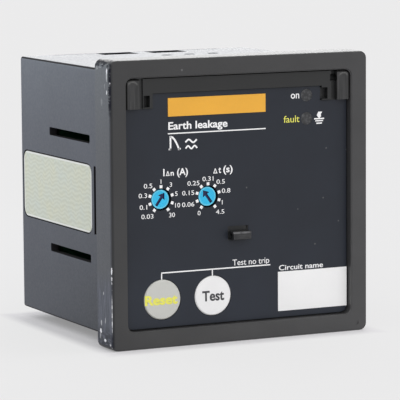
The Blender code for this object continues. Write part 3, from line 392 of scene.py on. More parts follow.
def white_wear_and_highlights(tree, place, ragged):
    """The share of white in the chips, in the painted highlights near the top corner and along the rubbed
    front edge.
    """
    low, high = RUBBED_EDGE
    centre = (RIM_LEFT + RUBBED_ACROSS, y_at(RUBBED_DEPTH), (low + high) / 2)
    half = (RUBBED_HALF, RUBBED_HALF, (high - low) / 2)
    patchy = ramp(tree, noise(tree, place, 0.9 * MM, 2.0), 0.4, 0.55, *RUBBED_PALE)
    white = times(tree, spot(tree, place, 0.0, centre, half), patchy)
    for depth, height, half_depth, half_height, pale in CHIPS_AND_HIGHLIGHTS:
        centre = (RIM_LEFT, y_at(depth * MM), height * MM)
        half = (CHIP_AND_HIGHLIGHT_REACH, half_depth * MM, half_height * MM)
        white = most(tree, white, times(tree, spot(tree, place, ragged, centre, half), pale))
    return white


def near_left(tree, x, reach):
    """1 up to the first of two distances from the frame's left side, and 0 from the second on."""
    return fade(tree, x, RIM_LEFT + reach[0], RIM_LEFT + reach[1])


def corner_patches(tree, place):
    """1 in the rubbed patches on the frame's left corners and upper left edge, else 0."""
    x, y, z = split(tree, place)
    top = times(
        tree,
        ramp(tree, z, *TOP_PATCH_HEIGHTS),
        ramp(tree, y, *map(y_at, TOP_PATCH_DEPTHS)),
        near_left(tree, x, TOP_PATCH_REACH),
    )
    foot = times(
        tree,
        fade(tree, z, *FOOT_PATCH_HEIGHTS, FOOT_PATCH_SHARE),
        near_left(tree, x, FOOT_PATCH_REACH),
    )
    edge = times(
        tree,
        fade(tree, y, *map(y_at, EDGE_PATCH_DEPTHS)),
        near_left(tree, x, EDGE_PATCH_REACH),
        ramp(tree, z, *EDGE_PATCH_HEIGHTS),
    )
    drawn_out = stretched(tree, place, (1.0, 0.4, 1.0))
    patches = ramp(tree, noise(tree, drawn_out, PATCH_SIZE, 3.0), 0.4, 0.5)
    return times(tree, most(tree, top, foot, edge), patches)


def patch_gloss(tree, place):
    return ramp(tree, corner_patches(tree, place), 0.0, 1.0, *PATCH_GLOSS)


def side_streaks(tree, place):
    """Pale upright streaks, strong low down and faint above."""
    streaks = noise(tree, stretched(tree, place, (1.0, 1.0, 0.12)), 0.55 * MM, 3.0)
    streaks = ramp(tree, streaks, 0.48, 0.68)
    return times(tree, streaks, ramp(tree, split(tree, place)[2], *STREAK_FADE, 1.0, STREAKS_ABOVE))


def rim_painted_light(tree, place):
    """Painted light on the rim: its tone changes from its upper left to its lower right corner."""
    x, _, z = split(tree, place)
    across = ramp(tree, x, RIM_LOW.x, RIM_HIGH.x, -0.65, 0.65)
    lean = math_node(tree, "ADD", across, ramp(tree, z, RIM_LOW.z, RIM_HIGH.z, 0.35, -0.35))
    return ramp(tree, lean, -0.75, 0.7, *RIM_LIGHT_TONES)


def frame_marks_and_light(tree, place, base, rough):
    """White chips with three painted highlights, a rubbed front edge, dark patches and pale upright
    streaks on the frame's left side, with painted light on the rim and side and painted shade low on the
    side.
    """
    x, y, z = split(tree, place)
    corner = RIM_LEFT + RIM_Y
    edge = math_node(tree, "ADD", x, y)
    edge = fade(tree, edge, corner + EDGE_FADE[0], corner + EDGE_FADE[1], EDGE_SHARE)
    base = mix(tree, edge, base, EDGE_DARK)
    # Painted light across the rim
    base = toned(tree, base, rim_painted_light(tree, place))
    on_side = near_left(tree, x, SIDE_REACH)
    # Painted light: the left side paler and bluer, as lit from the left
    base = mix(tree, times(tree, on_side, SIDE_SHARE), base, SIDE_LIT_GREY)
    # Painted shade low down on the side
    shaded_low = times(tree, on_side, fade(tree, z, *LOW_SIDE_SHADE_FADE, LOW_SIDE_SHADE_SHARE))
    base = mix(tree, shaded_low, base, LOW_SIDE_SHADE)
    base = mix(tree, times(tree, side_streaks(tree, place), on_side, STREAK_SHARE), base, STREAK_PALE)
    base = mix(tree, corner_patches(tree, place), base, PATCH_DARK)
    ragged = ragged_edge(tree, place)
    base = specks(tree, place, ragged, base, RIM_SPECKS, RIM_Y, RIM_SPECK_SIZE)
    return mix(tree, white_wear_and_highlights(tree, place, ragged), base, CHIP_AND_HIGHLIGHT_PALE), rough


def frame_plastic():
    """The frame's plastic, duller in the rubbed patches."""
    made = moulded("frame_plastic", (0.038, 0.038, 0.039), 0.42, grain_depth=0.003 * MM, wear_and_light=frame_marks_and_light)
    return set_gloss(made, patch_gloss)


# The housing

# Painted shade in the openings, the slots and the inside
INSIDE_FADE = (-0.12 * MM, -0.03 * MM)
INSIDE_SHADE = (0.009, 0.008, 0.01)
INSIDE_ROUGH = 0.9
# Painted shade on the walls' lower part, strongest towards the front foot
LOW_SHADE = (0.013, 0.018, 0.027)
LOW_SHADE_TOP = 36 * MM
LOW_SHADE_SHARE = 0.55

# The painted shade's strength at the foot behind the frame and at the rear, and the depths between
FORWARD_SHARES = (1.6, 0.6)
FORWARD_DEPTHS = (8 * MM, 50 * MM)

# The reflection on the sides and on the polished top
TOP_GLOSS = (0.33, 0.5)


def housing_painted_shade(tree, place, base, rough):
    """Painted shade: the openings, the slots and the inside are dark, and the walls darker towards the
    front foot.
    """
    inside = fade(tree, past_box(tree, place, BODY_LOW, BODY_HIGH), *INSIDE_FADE)
    _, y, z = split(tree, place)
    low_down = fade(tree, z, 0.0, LOW_SHADE_TOP, LOW_SHADE_SHARE)
    forward = ramp(tree, y, y_at(FORWARD_DEPTHS[0]), y_at(FORWARD_DEPTHS[1]), *FORWARD_SHARES)
    base = mix(tree, times(tree, low_down, forward), base, LOW_SHADE)
    rough = most(tree, rough, times(tree, inside, INSIDE_ROUGH))
    return mix(tree, inside, base, INSIDE_SHADE), rough


def top_gloss(tree, place):
    height = split(tree, place)[2]
    return ramp(tree, height, BODY_HIGH.z - 0.3 * MM, BODY_HIGH.z - 0.1 * MM, *TOP_GLOSS)


def housing_plastic():
    """The body's plastic, glossier on the polished top than on the sides."""
    made = moulded(
        "housing_plastic",
        (0.058, 0.066, 0.088),
        0.42,
        tone=0.08,
        tone_size=16 * MM,
        grain_depth=0.001 * MM,
        wear_and_light=housing_painted_shade,
    )
    return set_gloss(made, top_gloss)


# The face plate

# The ears: the depth behind which nothing of them lies, their outer edge, their top, the middle of their
# upper outer corner's curve (across, up) and its radius
EAR_DEPTH = 0.9 * MM
EAR_OUTER = 31.1 * MM
EAR_TOP = 67.1 * MM
EAR_CURVE = Vector((29.5, 65.4)) * MM
EAR_CURVE_RADIUS = 1.25 * MM
EAR_GREY = (0.036, 0.036, 0.037)

# The painted highlight round each ear's corner: how far from its line it fades, and how far above the
# curve's middle it starts
GLINT_GREY = (0.12, 0.12, 0.115)
GLINT_FADE = (0.12 * MM, 0.28 * MM)
GLINT_START = (0.2 * MM, 0.8 * MM)

# The painted shade along each ear's outer and top edges: how far in from the ear's outer edge and from its
# top it starts and is full
GAP_SHADE = (0.001, 0.001, 0.001)
SIDE_SHADE_BAND = (0.32 * MM, 0.15 * MM)
TOP_SHADE_BAND = (0.4 * MM, 0.2 * MM)

# The seal lug: the depth behind which nothing of its face lies, its top, where the painted shade on its
# left end fades, and how far below its top the painted highlight along its edge starts and is full
LUG_DEPTH = -0.35 * MM
LUG_TOP = 27.75 * MM
# The lug's face painted paler as lit, its painted shade and its painted highlight
LUG_LIT_GREY = (0.034, 0.034, 0.036)
LUG_SHADE = (0.01, 0.01, 0.012)
LUG_SHADE_FADE = (-2.6 * MM, 0.5 * MM)
LUG_HIGHLIGHT = (0.14, 0.14, 0.145)
LUG_HIGHLIGHT_EDGE = (0.45 * MM, 0.25 * MM)
LUG_SHARE = 0.8


def ear_glint(tree, place):
    """A painted highlight: a patchy pale line round the upper outer corner of each ear."""
    x, _, z = split(tree, place)
    outwards = math_node(tree, "SUBTRACT", math_node(tree, "ABSOLUTE", x), EAR_CURVE.x)
    upwards = math_node(tree, "SUBTRACT", z, EAR_CURVE.y)
    from_curve = node(tree, "CombineXYZ", {0: outwards, 1: upwards}).outputs[0]
    reach = vector_node(tree, "LENGTH", from_curve).outputs["Value"]
    from_line = math_node(tree, "ABSOLUTE", math_node(tree, "SUBTRACT", reach, EAR_CURVE_RADIUS))
    return times(
        tree,
        fade(tree, from_line, *GLINT_FADE),
        ramp(tree, noise(tree, place, 0.5 * MM, 3.0), 0.35, 0.6, 0.2, 0.8),
        ramp(tree, z, EAR_CURVE.y + GLINT_START[0], EAR_CURVE.y + GLINT_START[1]),
    )


def ear_tone_highlight_and_shade(tree, place, base, rough):
    """The ears are paler and faintly ribbed, with a painted highlight round their upper outer corners and
    painted shade along their outer and top edges.
    """
    x, _, z = split(tree, place)
    raised = shallower_than(tree, place, EAR_DEPTH)
    ribs = noise(tree, stretched(tree, place, (1.0, 0.05, 0.05)), 0.35 * MM, 1.0)
    ribs = ramp(tree, ribs, 0.35, 0.65, 0.1, 1.0)
    base = mix(tree, times(tree, ribs, deeper_than(tree, place, 0.0), raised), base, EAR_GREY)
    base = mix(tree, times(tree, ear_glint(tree, place), raised), base, GLINT_GREY)
    outwards = math_node(tree, "ABSOLUTE", x)
    at_side = ramp(tree, outwards, EAR_OUTER - SIDE_SHADE_BAND[0], EAR_OUTER - SIDE_SHADE_BAND[1])
    at_top = ramp(tree, z, EAR_TOP - TOP_SHADE_BAND[0], EAR_TOP - TOP_SHADE_BAND[1])
    edge_shade = times(tree, most(tree, at_side, at_top), raised)
    rough = most(tree, rough, times(tree, edge_shade, INSIDE_ROUGH))
    return mix(tree, edge_shade, base, GAP_SHADE), rough


def lug_light_and_shade(tree, place, base):
    """The seal lug is painted paler in faint lines, as lit, with painted shade at its left end and a
    painted highlight along its top edge.
    """
    x, _, z = split(tree, place)
    lug = shallower_than(tree, place, LUG_DEPTH)
    lines = noise(tree, stretched(tree, place, (0.2, 1.0, 1.0)), 0.3 * MM, 2.0)
    base = mix(tree, times(tree, lug, ramp(tree, lines, 0.35, 0.6)), base, LUG_LIT_GREY)
    base = mix(tree, times(tree, lug, fade(tree, x, *LUG_SHADE_FADE, LUG_SHARE)), base, LUG_SHADE)
    highlight = times(
        tree,
        lug,
        ramp(tree, z, LUG_TOP - LUG_HIGHLIGHT_EDGE[0], LUG_TOP - LUG_HIGHLIGHT_EDGE[1]),
        ramp(tree, noise(tree, place, 1.3 * MM, 1.0), 0.4, 0.55, 0.1, 1.0),
        LUG_SHARE,
    )
    return mix(tree, highlight, base, LUG_HIGHLIGHT)


# The ears' tone, painted highlight and painted shade, then the lug's painted light, shade and highlight
def plate_tone_light_and_shade(tree, place, base, rough):
    base, rough = ear_tone_highlight_and_shade(tree, place, base, rough)
    return lug_light_and_shade(tree, place, base), rough


def plate_plastic():
    return moulded("plate_plastic", (0.011, 0.0115, 0.012), 0.4, wear_and_light=plate_tone_light_and_shade)


# The face film

FILM_TONES = (1.2, 1.0)
FILM_TONE_HEIGHTS = (10 * MM, 28 * MM)


def film_tone_and_dust(tree, place, base, rough):
    """The film is a little paler towards its foot, with some dust."""
    base = toned(tree, base, ramp(tree, split(tree, place)[2], *FILM_TONE_HEIGHTS, *FILM_TONES))
    ragged = ragged_edge(tree, place)
    return specks(tree, place, ragged, base, FILM_SPECKS, y_at(FILM_DEPTH), FILM_SPECK_SIZE), rough


def face_film():
    return moulded(
        "face_film",
        (0.0135, 0.017, 0.0255),
        0.42,
        tone=0.1,
        grain=0.2 * MM,
        wear_and_light=film_tone_and_dust,
        Specular_IOR_Level=0.35,
    )


# The dials

# A painted highlight on each dial's moulded edge
DIAL_EDGE = (1.95 * MM, 2.15 * MM)
DIAL_EDGE_HIGHLIGHT = (0.2, 0.72, 0.9)
DIAL_EDGE_SHARE = 0.6
# Dark paint in the arrow slots, which also paints shade on their walls
ARROW_PAINT_AND_SHADE = (0.001, 0.003, 0.06)


def dial_highlight_and_paint(tree, place, base, rough):
    """A painted highlight on the moulded edge round each dial, and dark paint in its arrow slot, which
    also paints shade on the slot's walls.
    """
    edge = None
    for dial in ("current_dial", "time_dial"):
        from_axis = vector_node(tree, "SUBTRACT", place, centre_of(dial)).outputs[0]
        flat = stretched(tree, from_axis, (1.0, 0.0, 1.0))
        reach = vector_node(tree, "LENGTH", flat).outputs["Value"]
        here = ramp(tree, reach, *DIAL_EDGE)
        edge = here if edge is None else math_node(tree, "MINIMUM", edge, here)
    base = mix(tree, times(tree, edge, DIAL_EDGE_SHARE), base, DIAL_EDGE_HIGHLIGHT)
    slot = deeper_than(tree, place, DIAL_DEPTH + 0.04 * MM, 0.05 * MM)
    return mix(tree, slot, base, ARROW_PAINT_AND_SHADE), rough


def dial_blue():
    return moulded("dial_blue", (0.02, 0.49, 0.8), 0.35, tone=0.05, wear_and_light=dial_highlight_and_paint)


# The smoky plastic of the lamps' windows

SMOKE_PALE = (0.062, 0.063, 0.067)
SMOKE_DARK = (0.022, 0.023, 0.025)


def led_lens():
    """Smoky diffusing plastic, mottled."""
    made, tree, shader, place = new_material("led_lens", Specular_IOR_Level=0.45)
    cells = node(tree, "TexVoronoi", {"Vector": place, "Scale": 1 / (0.7 * MM)}).outputs[0]
    fine = noise(tree, place, 0.4 * MM, 2.0)
    share = ramp(tree, times(tree, cells, fine), 0.1, 0.35)
    base = mix(tree, share, SMOKE_PALE, SMOKE_DARK)
    rough = ramp(tree, fine, *NOISE_RANGE, 0.25, 0.45)
    set_surface(tree, shader, base, rough, cells, 0.5, 0.02 * MM)
    return made


# The rating label

LABEL_BORDER = 0.4 * MM
LINE_SPACING = 1.15 * MM
LINE_WAVE = 4.9 * MM
LINE_SWING = 1.5
LINE_DRIFT = 12.0
LABEL_PALE = ((0.61, 0.66, 0.59), (0.65, 0.67, 0.54))
LABEL_DARK = ((0.54, 0.585, 0.51), (0.57, 0.59, 0.46))
BORDER_PALE = (0.76, 0.78, 0.74)


def wavy_lines(tree, place):
    """Fine lines that rise and fall along the label, from 0 to 1."""
    _, y, z = split(tree, place)
    rise = math_node(tree, "SINE", times(tree, y, math.tau / LINE_WAVE))
    drift = times(tree, noise(tree, place, 3 * MM, 2.0), LINE_DRIFT)
    rise = math_node(tree, "ADD", times(tree, rise, LINE_SWING), drift)
    phase = math_node(tree, "ADD", times(tree, z, math.tau / LINE_SPACING), rise)
    return ramp(tree, math_node(tree, "SINE", phase), -1.0, 1.0)


def label_film():
    """Silvered label film with fine wavy lines and a pale border."""
    made, tree, shader, place = new_material("label_film", Metallic=0.1)
    waves = wavy_lines(tree, place)
    tint = ramp(tree, noise(tree, place, 6 * MM, 5.0, 0.7), 0.35, 0.65)
    base = mix(tree, waves, mix(tree, tint, *LABEL_PALE), mix(tree, tint, *LABEL_DARK))
    past = past_box(tree, place, LABEL_LOW - ACROSS, LABEL_HIGH + ACROSS)
    border = ramp(tree, past, -LABEL_BORDER * 1.3, -LABEL_BORDER)
    base = mix(tree, border, base, BORDER_PALE)
    rough = ramp(tree, noise(tree, place, 0.5 * MM, 3.0), *NOISE_RANGE, 0.35, 0.5)
    set_surface(tree, shader, base, rough, waves, 0.2, 0.01 * MM)
    return made


# Metal

METAL_DARK = 0.8
METAL_SPREAD = 0.1


def metal(name, colour, roughness=0.35):
    """Bare metal: slow tone changes and uneven gloss."""
    made, tree, shader, place = new_material(name, Metallic=1.0)
    base = mix(tree, noise(tree, place, 2 * MM, 3.0), scaled(colour, METAL_DARK), colour)
    fine = noise(tree, place, 0.3 * MM, 3.0)
    rough = ramp(tree, fine, *NOISE_RANGE, roughness - METAL_SPREAD, roughness + METAL_SPREAD)
    set_surface(tree, shader, base, rough, fine, 0.4, 0.01 * MM)
    return made


# The finish of each slot

MATERIALS = {
    "frame_plastic": frame_plastic,
    "housing_plastic": housing_plastic,
    "plate_plastic": plate_plastic,
    "face_film": face_film,
    "label_film": label_film,
    "band_print": plain("band_print", (0.8, 0.4, 0.035), 0.5, tone=0.05),
    "note_print": plain("note_print", (0.86, 0.86, 0.855), 0.5, tone=0.02),
    "white_print": plain("white_print", (0.9, 0.9, 0.9), 0.5, tone=0.04),
    "yellow_print": plain("yellow_print", (0.8, 0.78, 0.12), 0.5, tone=0.05),
    "dark_print": plain("dark_print", (0.04, 0.04, 0.045), 0.5),
    "dial_blue": dial_blue,
    "reset_cap": plain("reset_cap", (0.55, 0.555, 0.52), 0.4, tone=0.05),
    "test_cap": plain("test_cap", (0.85, 0.85, 0.845), 0.4, tone=0.03),
    "led_lens": led_lens,
    "holder_plastic": plain("holder_plastic", (0.7, 0.7, 0.68)),
    "switch_plastic": plain("switch_plastic", (0.2, 0.2, 0.21)),
    "part_black": plain("part_black", (0.025, 0.025, 0.028)),
    "board_green": plain("board_green", (0.015, 0.09, 0.04), 0.35),
    "relay_plastic": plain("relay_plastic", (0.05, 0.12, 0.3), 0.35),
    "core_steel": lambda: metal("core_steel", (0.3, 0.3, 0.31), 0.45),
    "coil_copper": lambda: metal("coil_copper", (0.6, 0.28, 0.12), 0.4),
    "capacitor_sleeve": plain("capacitor_sleeve", (0.06, 0.07, 0.12), 0.35),
    "filter_yellow": plain("filter_yellow", (0.6, 0.5, 0.12), 0.4),
    "terminal_plastic": plain("terminal_plastic", (0.03, 0.032, 0.035), 0.5),
    "terminal_steel": lambda: metal("terminal_steel", (0.6, 0.6, 0.58)),
    "screw_steel": lambda: metal("screw_steel", (0.55, 0.55, 0.56)),
}


def finish_of(slot):
    """The material of a slot, made once."""
    found = bpy.data.materials.get("look_" + slot)
    if found is None:
        found = MATERIALS[slot]()
        found.name = "look_" + slot
    return found


def dress_nodes():
    """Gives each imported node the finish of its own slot, and softens its edges."""
    slots = {entry["slot"] for entry in frame["record"]["materials"]}
    for name, obj in frame["nodes"].items():
        for holder in obj.material_slots:
            slot = holder.material.name.split(".")[0]
            if slot not in slots:
                raise RuntimeError(f"{name} has material {slot}")
            holder.material = finish_of(slot)
        soften(obj)


# Soft edges

SHARP = math.radians(32)
FLAT = math.radians(0.2)
WELD_DISTANCE = 0.001 * MM
EDGE_WIDTHS = {"front_frame": 0.15 * MM, "housing": 0.08 * MM, "face_plate": 0.2 * MM}


def welding_tree():
    """Geometry nodes that weld a node's loose triangles and shade it smooth up to its sharp edges."""
    tree = bpy.data.node_groups.new("weld_and_smooth", "GeometryNodeTree")
    tree.interface.new_socket("Geometry", in_out="INPUT", socket_type="NodeSocketGeometry")
    tree.interface.new_socket("Geometry", in_out="OUTPUT", socket_type="NodeSocketGeometry")
    start = tree.nodes.new("NodeGroupInput")
    weld = tree.nodes.new("GeometryNodeMergeByDistance")
    weld.inputs["Distance"].default_value = WELD_DISTANCE
    forget = tree.nodes.new("GeometryNodeRemoveAttribute")
    forget.inputs["Name"].default_value = "custom_normal"
    smooth = tree.nodes.new("GeometryNodeSetShadeSmooth")
    crease = tree.nodes.new("GeometryNodeSetShadeSmooth")
    crease.domain = "EDGE"
    crease.inputs["Shade Smooth"].default_value = False
    end = tree.nodes.new("NodeGroupOutput")
    angle = tree.nodes.new("GeometryNodeInputMeshEdgeAngle")
    sharp = tree.nodes.new("FunctionNodeCompare")
    sharp.operation = "GREATER_THAN"
    sharp.inputs[1].default_value = SHARP
    tree.links.new(angle.outputs["Unsigned Angle"], sharp.inputs[0])
    tree.links.new(sharp.outputs[0], crease.inputs["Selection"])
    steps = (start, weld, forget, smooth, crease, end)
    for first, second in zip(steps, steps[1:]):
        tree.links.new(first.outputs[0], second.inputs[0])
    return tree


WELDING = welding_tree()


def soften(obj):
    weld = obj.modifiers.new("weld", "NODES")
    weld.node_group = WELDING
    width = EDGE_WIDTHS.get(obj.name, 0.0)
    if width:
        flat = obj.modifiers.new("flat", "DECIMATE")
        flat.decimate_type = "DISSOLVE"
        flat.angle_limit = FLAT
        edge = obj.modifiers.new("edge", "BEVEL")
        edge.limit_method = "ANGLE"
        edge.angle_limit = SHARP
        edge.width = width
        edge.segments = 2
    crisp = obj.modifiers.new("crisp", "WEIGHTED_NORMAL")
    crisp.keep_sharp = True


# Building pieces


def piece(name, bm, slot, body):
    """A new piece from the bmesh, with the finish of a slot, that rides a body."""
    bmesh.ops.recalc_face_normals(bm, faces=bm.faces)
    mesh = bpy.data.meshes.new(name)
    bm.to_mesh(mesh)
    bm.free()
    obj = bpy.data.objects.new(name, mesh)
    bpy.context.scene.collection.objects.link(obj)
    mesh.materials.append(finish_of(slot))
    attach(obj, body)
    return obj


def slab(bm, outline, near, far):
    """A flat closed shape between two depths, from its outline of (x, z) points."""
    fronts = [bm.verts.new((x, y_at(near), z)) for x, z in outline]
    backs = [bm.verts.new((x, y_at(far), z)) for x, z in outline]
    bm.faces.new(fronts)
    bm.faces.new(backs[::-1])
    count = len(outline)
    for index in range(count):
        after = (index + 1) % count
        bm.faces.new((fronts[index], backs[index], backs[after], fronts[after]))


def on_film(bm, outline):
    slab(bm, outline, FILM_DEPTH - PRINT_PROUD, FILM_DEPTH + PRINT_SUNK)


def bar(left, right, low, high):
    return [(left, low), (right, low), (right, high), (left, high)]


def bar_in_mm(*sides):
    return bar(*(side * MM for side in sides))


def turned_square(centre, half, angle):
    corners = [(-half, -half), (half, -half), (half, half), (-half, half)]
    turn = Matrix.Rotation(angle, 2)
    return [tuple(Vector(centre) + turn @ Vector(corner)) for corner in corners]


def ribbon(points, width):
    """The outline of a line of even width along some points."""
    left, right = [], []
    for index, point in enumerate(points):
        before = Vector(points[max(index - 1, 0)])
        after = Vector(points[min(index + 1, len(points) - 1)])
        along = (after - before).normalized()
        side = Vector((-along.y, along.x)) * width / 2
        left.append(tuple(Vector(point) + side))
        right.append(tuple(Vector(point) - side))
    return left + right[::-1]


def circle(bm, centre, radius, y, sides):
    turns = [math.tau * side / sides for side in range(sides)]
    points = [(radius * math.cos(turn), radius * math.sin(turn)) for turn in turns]
    return [bm.verts.new((centre.x + across, y, centre.z + up)) for across, up in points]


# Lettering

LETTER_STEPS = 4


def letter_mesh(words, weight):
    """Words in the default font, one unit deep and with their capitals at the font's own height."""
    curve = bpy.data.curves.new("letters", "FONT")
    curve.body = words
    curve.offset = weight
    curve.extrude = 0.5
    curve.resolution_u = LETTER_STEPS
    text = bpy.data.objects.new("letters", curve)
    bpy.context.scene.collection.objects.link(text)
    bpy.context.view_layer.update()
    graph = bpy.context.evaluated_depsgraph_get()
    mesh = bpy.data.meshes.new_from_object(text.evaluated_get(graph))
    bpy.data.objects.remove(text)
    return mesh


def spread_of(mesh, axis):
    values = [vertex.co[axis] for vertex in mesh.vertices]
    return min(values), max(values)


CAPITAL = spread_of(letter_mesh("E", 0.0), 1)[1]


def write(bm, words, x, z, height, anchor="left", face=None, weight=0.0, width=None, rear=False):
    """Adds words to the print: x is their left, middle or right, z their baseline, height their capitals'.

    face is the surface's own Y, and words at the rear read from behind.
    """
    face = y_at(FILM_DEPTH) if face is None else face
    mesh = letter_mesh(words, weight)
    low, high = spread_of(mesh, 0)
    across = width / (high - low) if width else height / CAPITAL
    start = {"left": low, "middle": (low + high) / 2, "right": high}[anchor]
    grow = Matrix.Diagonal((across, height / CAPITAL, PRINT_PROUD + PRINT_SUNK, 1.0))
    upright = Matrix.Rotation(math.pi / 2, 4, "X")
    from_start = Matrix.Translation((-start * across, (PRINT_SUNK - PRINT_PROUD) / 2, 0.0))
    turn = Matrix.Rotation(math.pi if rear else 0.0, 4, "Z")
    mesh.transform(Matrix.Translation((x, face, z)) @ turn @ from_start @ upright @ grow)
    bm.from_mesh(mesh)
    bpy.data.meshes.remove(mesh)
    bmesh.ops.remove_doubles(bm, verts=bm.verts, dist=WELD_DISTANCE)


# The dials' scales

DIAL_NUMBERS = {
    "current_dial": ("0.03", "0.1", "0.3", "0.5", "1", "3", "5", "10", "30"),
    "time_dial": ("0", "0.06", "0.15", "0.25", "0.31", "0.5", "0.8", "1", "4.5"),
}
FIRST_MARK = 234
MARK_STEP = 36
MARK_RADIUS = 3.2 * MM
MARK_HALF = 0.37 * MM
NUMBER_HEIGHT = 1.1 * MM
POINT_STRETCH = 1.27
PLAIN_STRETCH = 1.1
NUMBER_WEIGHT = 0.002
NUMBER_ACROSS = 4.05 * MM
NUMBER_UP = 4.7 * MM
NUMBER_DROP = 0.23 * MM

# A number this far to a side starts or ends at its mark, and the lowest ones stand closer in
SIDE_ENOUGH = 0.1
LOWEST = -0.7
LOWEST_ACROSS = 3.65 * MM


def print_scale(bm, dial):
    """The nine marks round a dial and their numbers, which start where the marks end."""
    centre = centre_of(dial)
    for index, number in enumerate(DIAL_NUMBERS[dial]):
        angle = math.radians(FIRST_MARK - index * MARK_STEP)
        across, up = math.cos(angle), math.sin(angle)
        mark = (centre.x + MARK_RADIUS * across, centre.z + MARK_RADIUS * up)
        on_film(bm, turned_square(mark, MARK_HALF, angle))
        anchor = "middle"
        if abs(across) > SIDE_ENOUGH:
            anchor = "left" if across > 0 else "right"
        ring = LOWEST_ACROSS if up < LOWEST else NUMBER_ACROSS
        x = centre.x + ring * across
        z = centre.z + NUMBER_UP * up - NUMBER_DROP - NUMBER_HEIGHT / 2
        low, high = spread_of(letter_mesh(number, NUMBER_WEIGHT), 0)
        stretch = POINT_STRETCH if "." in number else PLAIN_STRETCH
        width = (high - low) * NUMBER_HEIGHT / CAPITAL * stretch
        write(bm, number, x, z, NUMBER_HEIGHT, anchor, weight=NUMBER_WEIGHT, width=width)


# The symbols

CURVE_LOW, CURVE_HIGH = 49.2 * MM, 52.6 * MM
CURVE_LEFT, CURVE_RIGHT = -18.65 * MM, -16.25 * MM
CURVE_FALL = 1.9
CURVE_STEPS = 12
FOOT_LOW, FOOT_HIGH = CURVE_LOW - 0.05 * MM, CURVE_LOW + 0.35 * MM
WAVE_STEPS = 24

# The two wave lines: middle height, swing, a crest's x, length, left and right end, and stroke, in mm
WAVES = (
    (51.16, 0.38, -13.62, 2.5, -14.55, -11.4, 0.42),
    (49.6, 0.35, -13.8, 1.8, -14.5, -11.3, 0.4),
)

# The fault-to-earth sign: its middle, its bars (half width, low and high) and its bolt, in mm
EARTH_X = 23.27
EARTH_BARS = ((1.44, 54.87, 55.2), (1.12, 54.35, 54.65), (0.8, 53.72, 54.05))
EARTH_BOLT = (
    (-0.26, 56.8),
    (0.91, 56.8),
    (0.45, 56.11),
    (0.57, 55.66),
    (0.1, 55.12),
    (-0.26, 55.34),
    (-0.67, 55.94),
)


def print_trip_curve(bm):
    """An upright stem and a falling curve, each on a foot."""
    stem_right = CURVE_LEFT + STROKE / 2
    on_film(bm, bar(CURVE_LEFT - STROKE / 2, stem_right, CURVE_LOW, CURVE_HIGH))
    on_film(bm, bar(CURVE_LEFT - 0.5 * MM, stem_right, FOOT_LOW, FOOT_HIGH))
    fall = []
    for step in range(CURVE_STEPS + 1):
        share = step / CURVE_STEPS
        x = CURVE_LEFT + (CURVE_RIGHT - CURVE_LEFT) * share
        fall.append((x, CURVE_HIGH - 0.12 * MM - (CURVE_HIGH - CURVE_LOW) * share**CURVE_FALL))
    on_film(bm, ribbon(fall, STROKE))
    on_film(bm, bar(CURVE_RIGHT - STROKE / 2, CURVE_RIGHT + 0.4 * MM, FOOT_LOW, FOOT_HIGH))


def wave_line(middle, swing, crest, length, left, right):
    """Points along a wave with a crest at one x, all in mm."""
    points = []
    for step in range(WAVE_STEPS + 1):
        x = left + (right - left) * step / WAVE_STEPS
        points.append((x * MM, (middle + swing * math.cos(math.tau * (x - crest) / length)) * MM))
    return points


def print_symbols(bm):
    """The trip curve, the two wave lines and the fault-to-earth sign."""
    print_trip_curve(bm)
    for *wave, stroke in WAVES:
        on_film(bm, ribbon(wave_line(*wave), stroke * MM))
    for half, low, high in EARTH_BARS:
        on_film(bm, bar_in_mm(EARTH_X - half, EARTH_X + half, low, high))
    on_film(bm, [((EARTH_X + x) * MM, z * MM) for x, z in EARTH_BOLT])


# The printed words and lines

# Words: left end, baseline, height of the capitals and width in mm, or no width for the font's own, and
# the letters' added weight
WHITE_WORDS = (
    ("Earth leakage", -19.2, 54.26, 1.8, 16.4, 0.02),
    ("on", 15.15, 60.5, 1.75, 2.4, 0.01),
    ("I", -20.7, 42.78, 1.71, None, 0.02),
    ("Δ", -20.0, 42.78, 1.05, 1.06, 0.02),
    ("n", -18.69, 42.78, 1.3, 0.9, 0.022),
    ("(A)", -16.91, 42.78, 1.65, 3.0, 0.02),
    ("Δ", -6.87, 42.68, 1.1, 1.15, 0.02),
    ("t", -5.4, 42.72, 1.6, 0.7, 0.02),
    ("(s)", -4.06, 42.78, 1.65, 2.6, 0.02),
    ("Test no trip", -1.6, 19.0, 1.5, 10.4, 0.0),
    ("Circuit name", 11.6, 16.85, 1.3, 12.7, 0.01),
)
YELLOW_WORDS = (("fault", 13.1, 54.45, 1.7, 4.5, 0.0),)

# Lines under the first words, over the two buttons and down to each: left, right, low and high in mm
WHITE_LINES = (
    (-19.35, 7.95, 53.11, 53.39),
    (-21.5, 9.1, 18.35, 18.65),
    (-21.55, -21.25, 16.85, 18.4),
    (-7.45, -7.15, 16.85, 18.4),
)

# The push buttons' lettering: piece, words, button, slot, width, height and shift to the left in mm,
# and weight
CAP_LETTERING = (
    ("reset_lettering", "Reset", "reset_button", "yellow_print", 9.0, 2.25, 0.4, 0.04),
    ("test_lettering", "Test", "test_button", "dark_print", 6.1, 2.45, 0.0, 0.025),
)


def write_words(bm, table):
    for words, x, z, height, width, weight in table:
        width = width and width * MM
        write(bm, words, x * MM, z * MM, height * MM, weight=weight, width=width)


def print_white():
    bm = bmesh.new()
    for dial in DIAL_NUMBERS:
        print_scale(bm, dial)
    print_symbols(bm)
    write_words(bm, WHITE_WORDS)
    for line in WHITE_LINES:
        on_film(bm, bar_in_mm(*line))
    piece("white_print", bm, "white_print", "relay_body")


def print_yellow():
    bm = bmesh.new()
    write_words(bm, YELLOW_WORDS)
    piece("yellow_print", bm, "yellow_print", "relay_body")


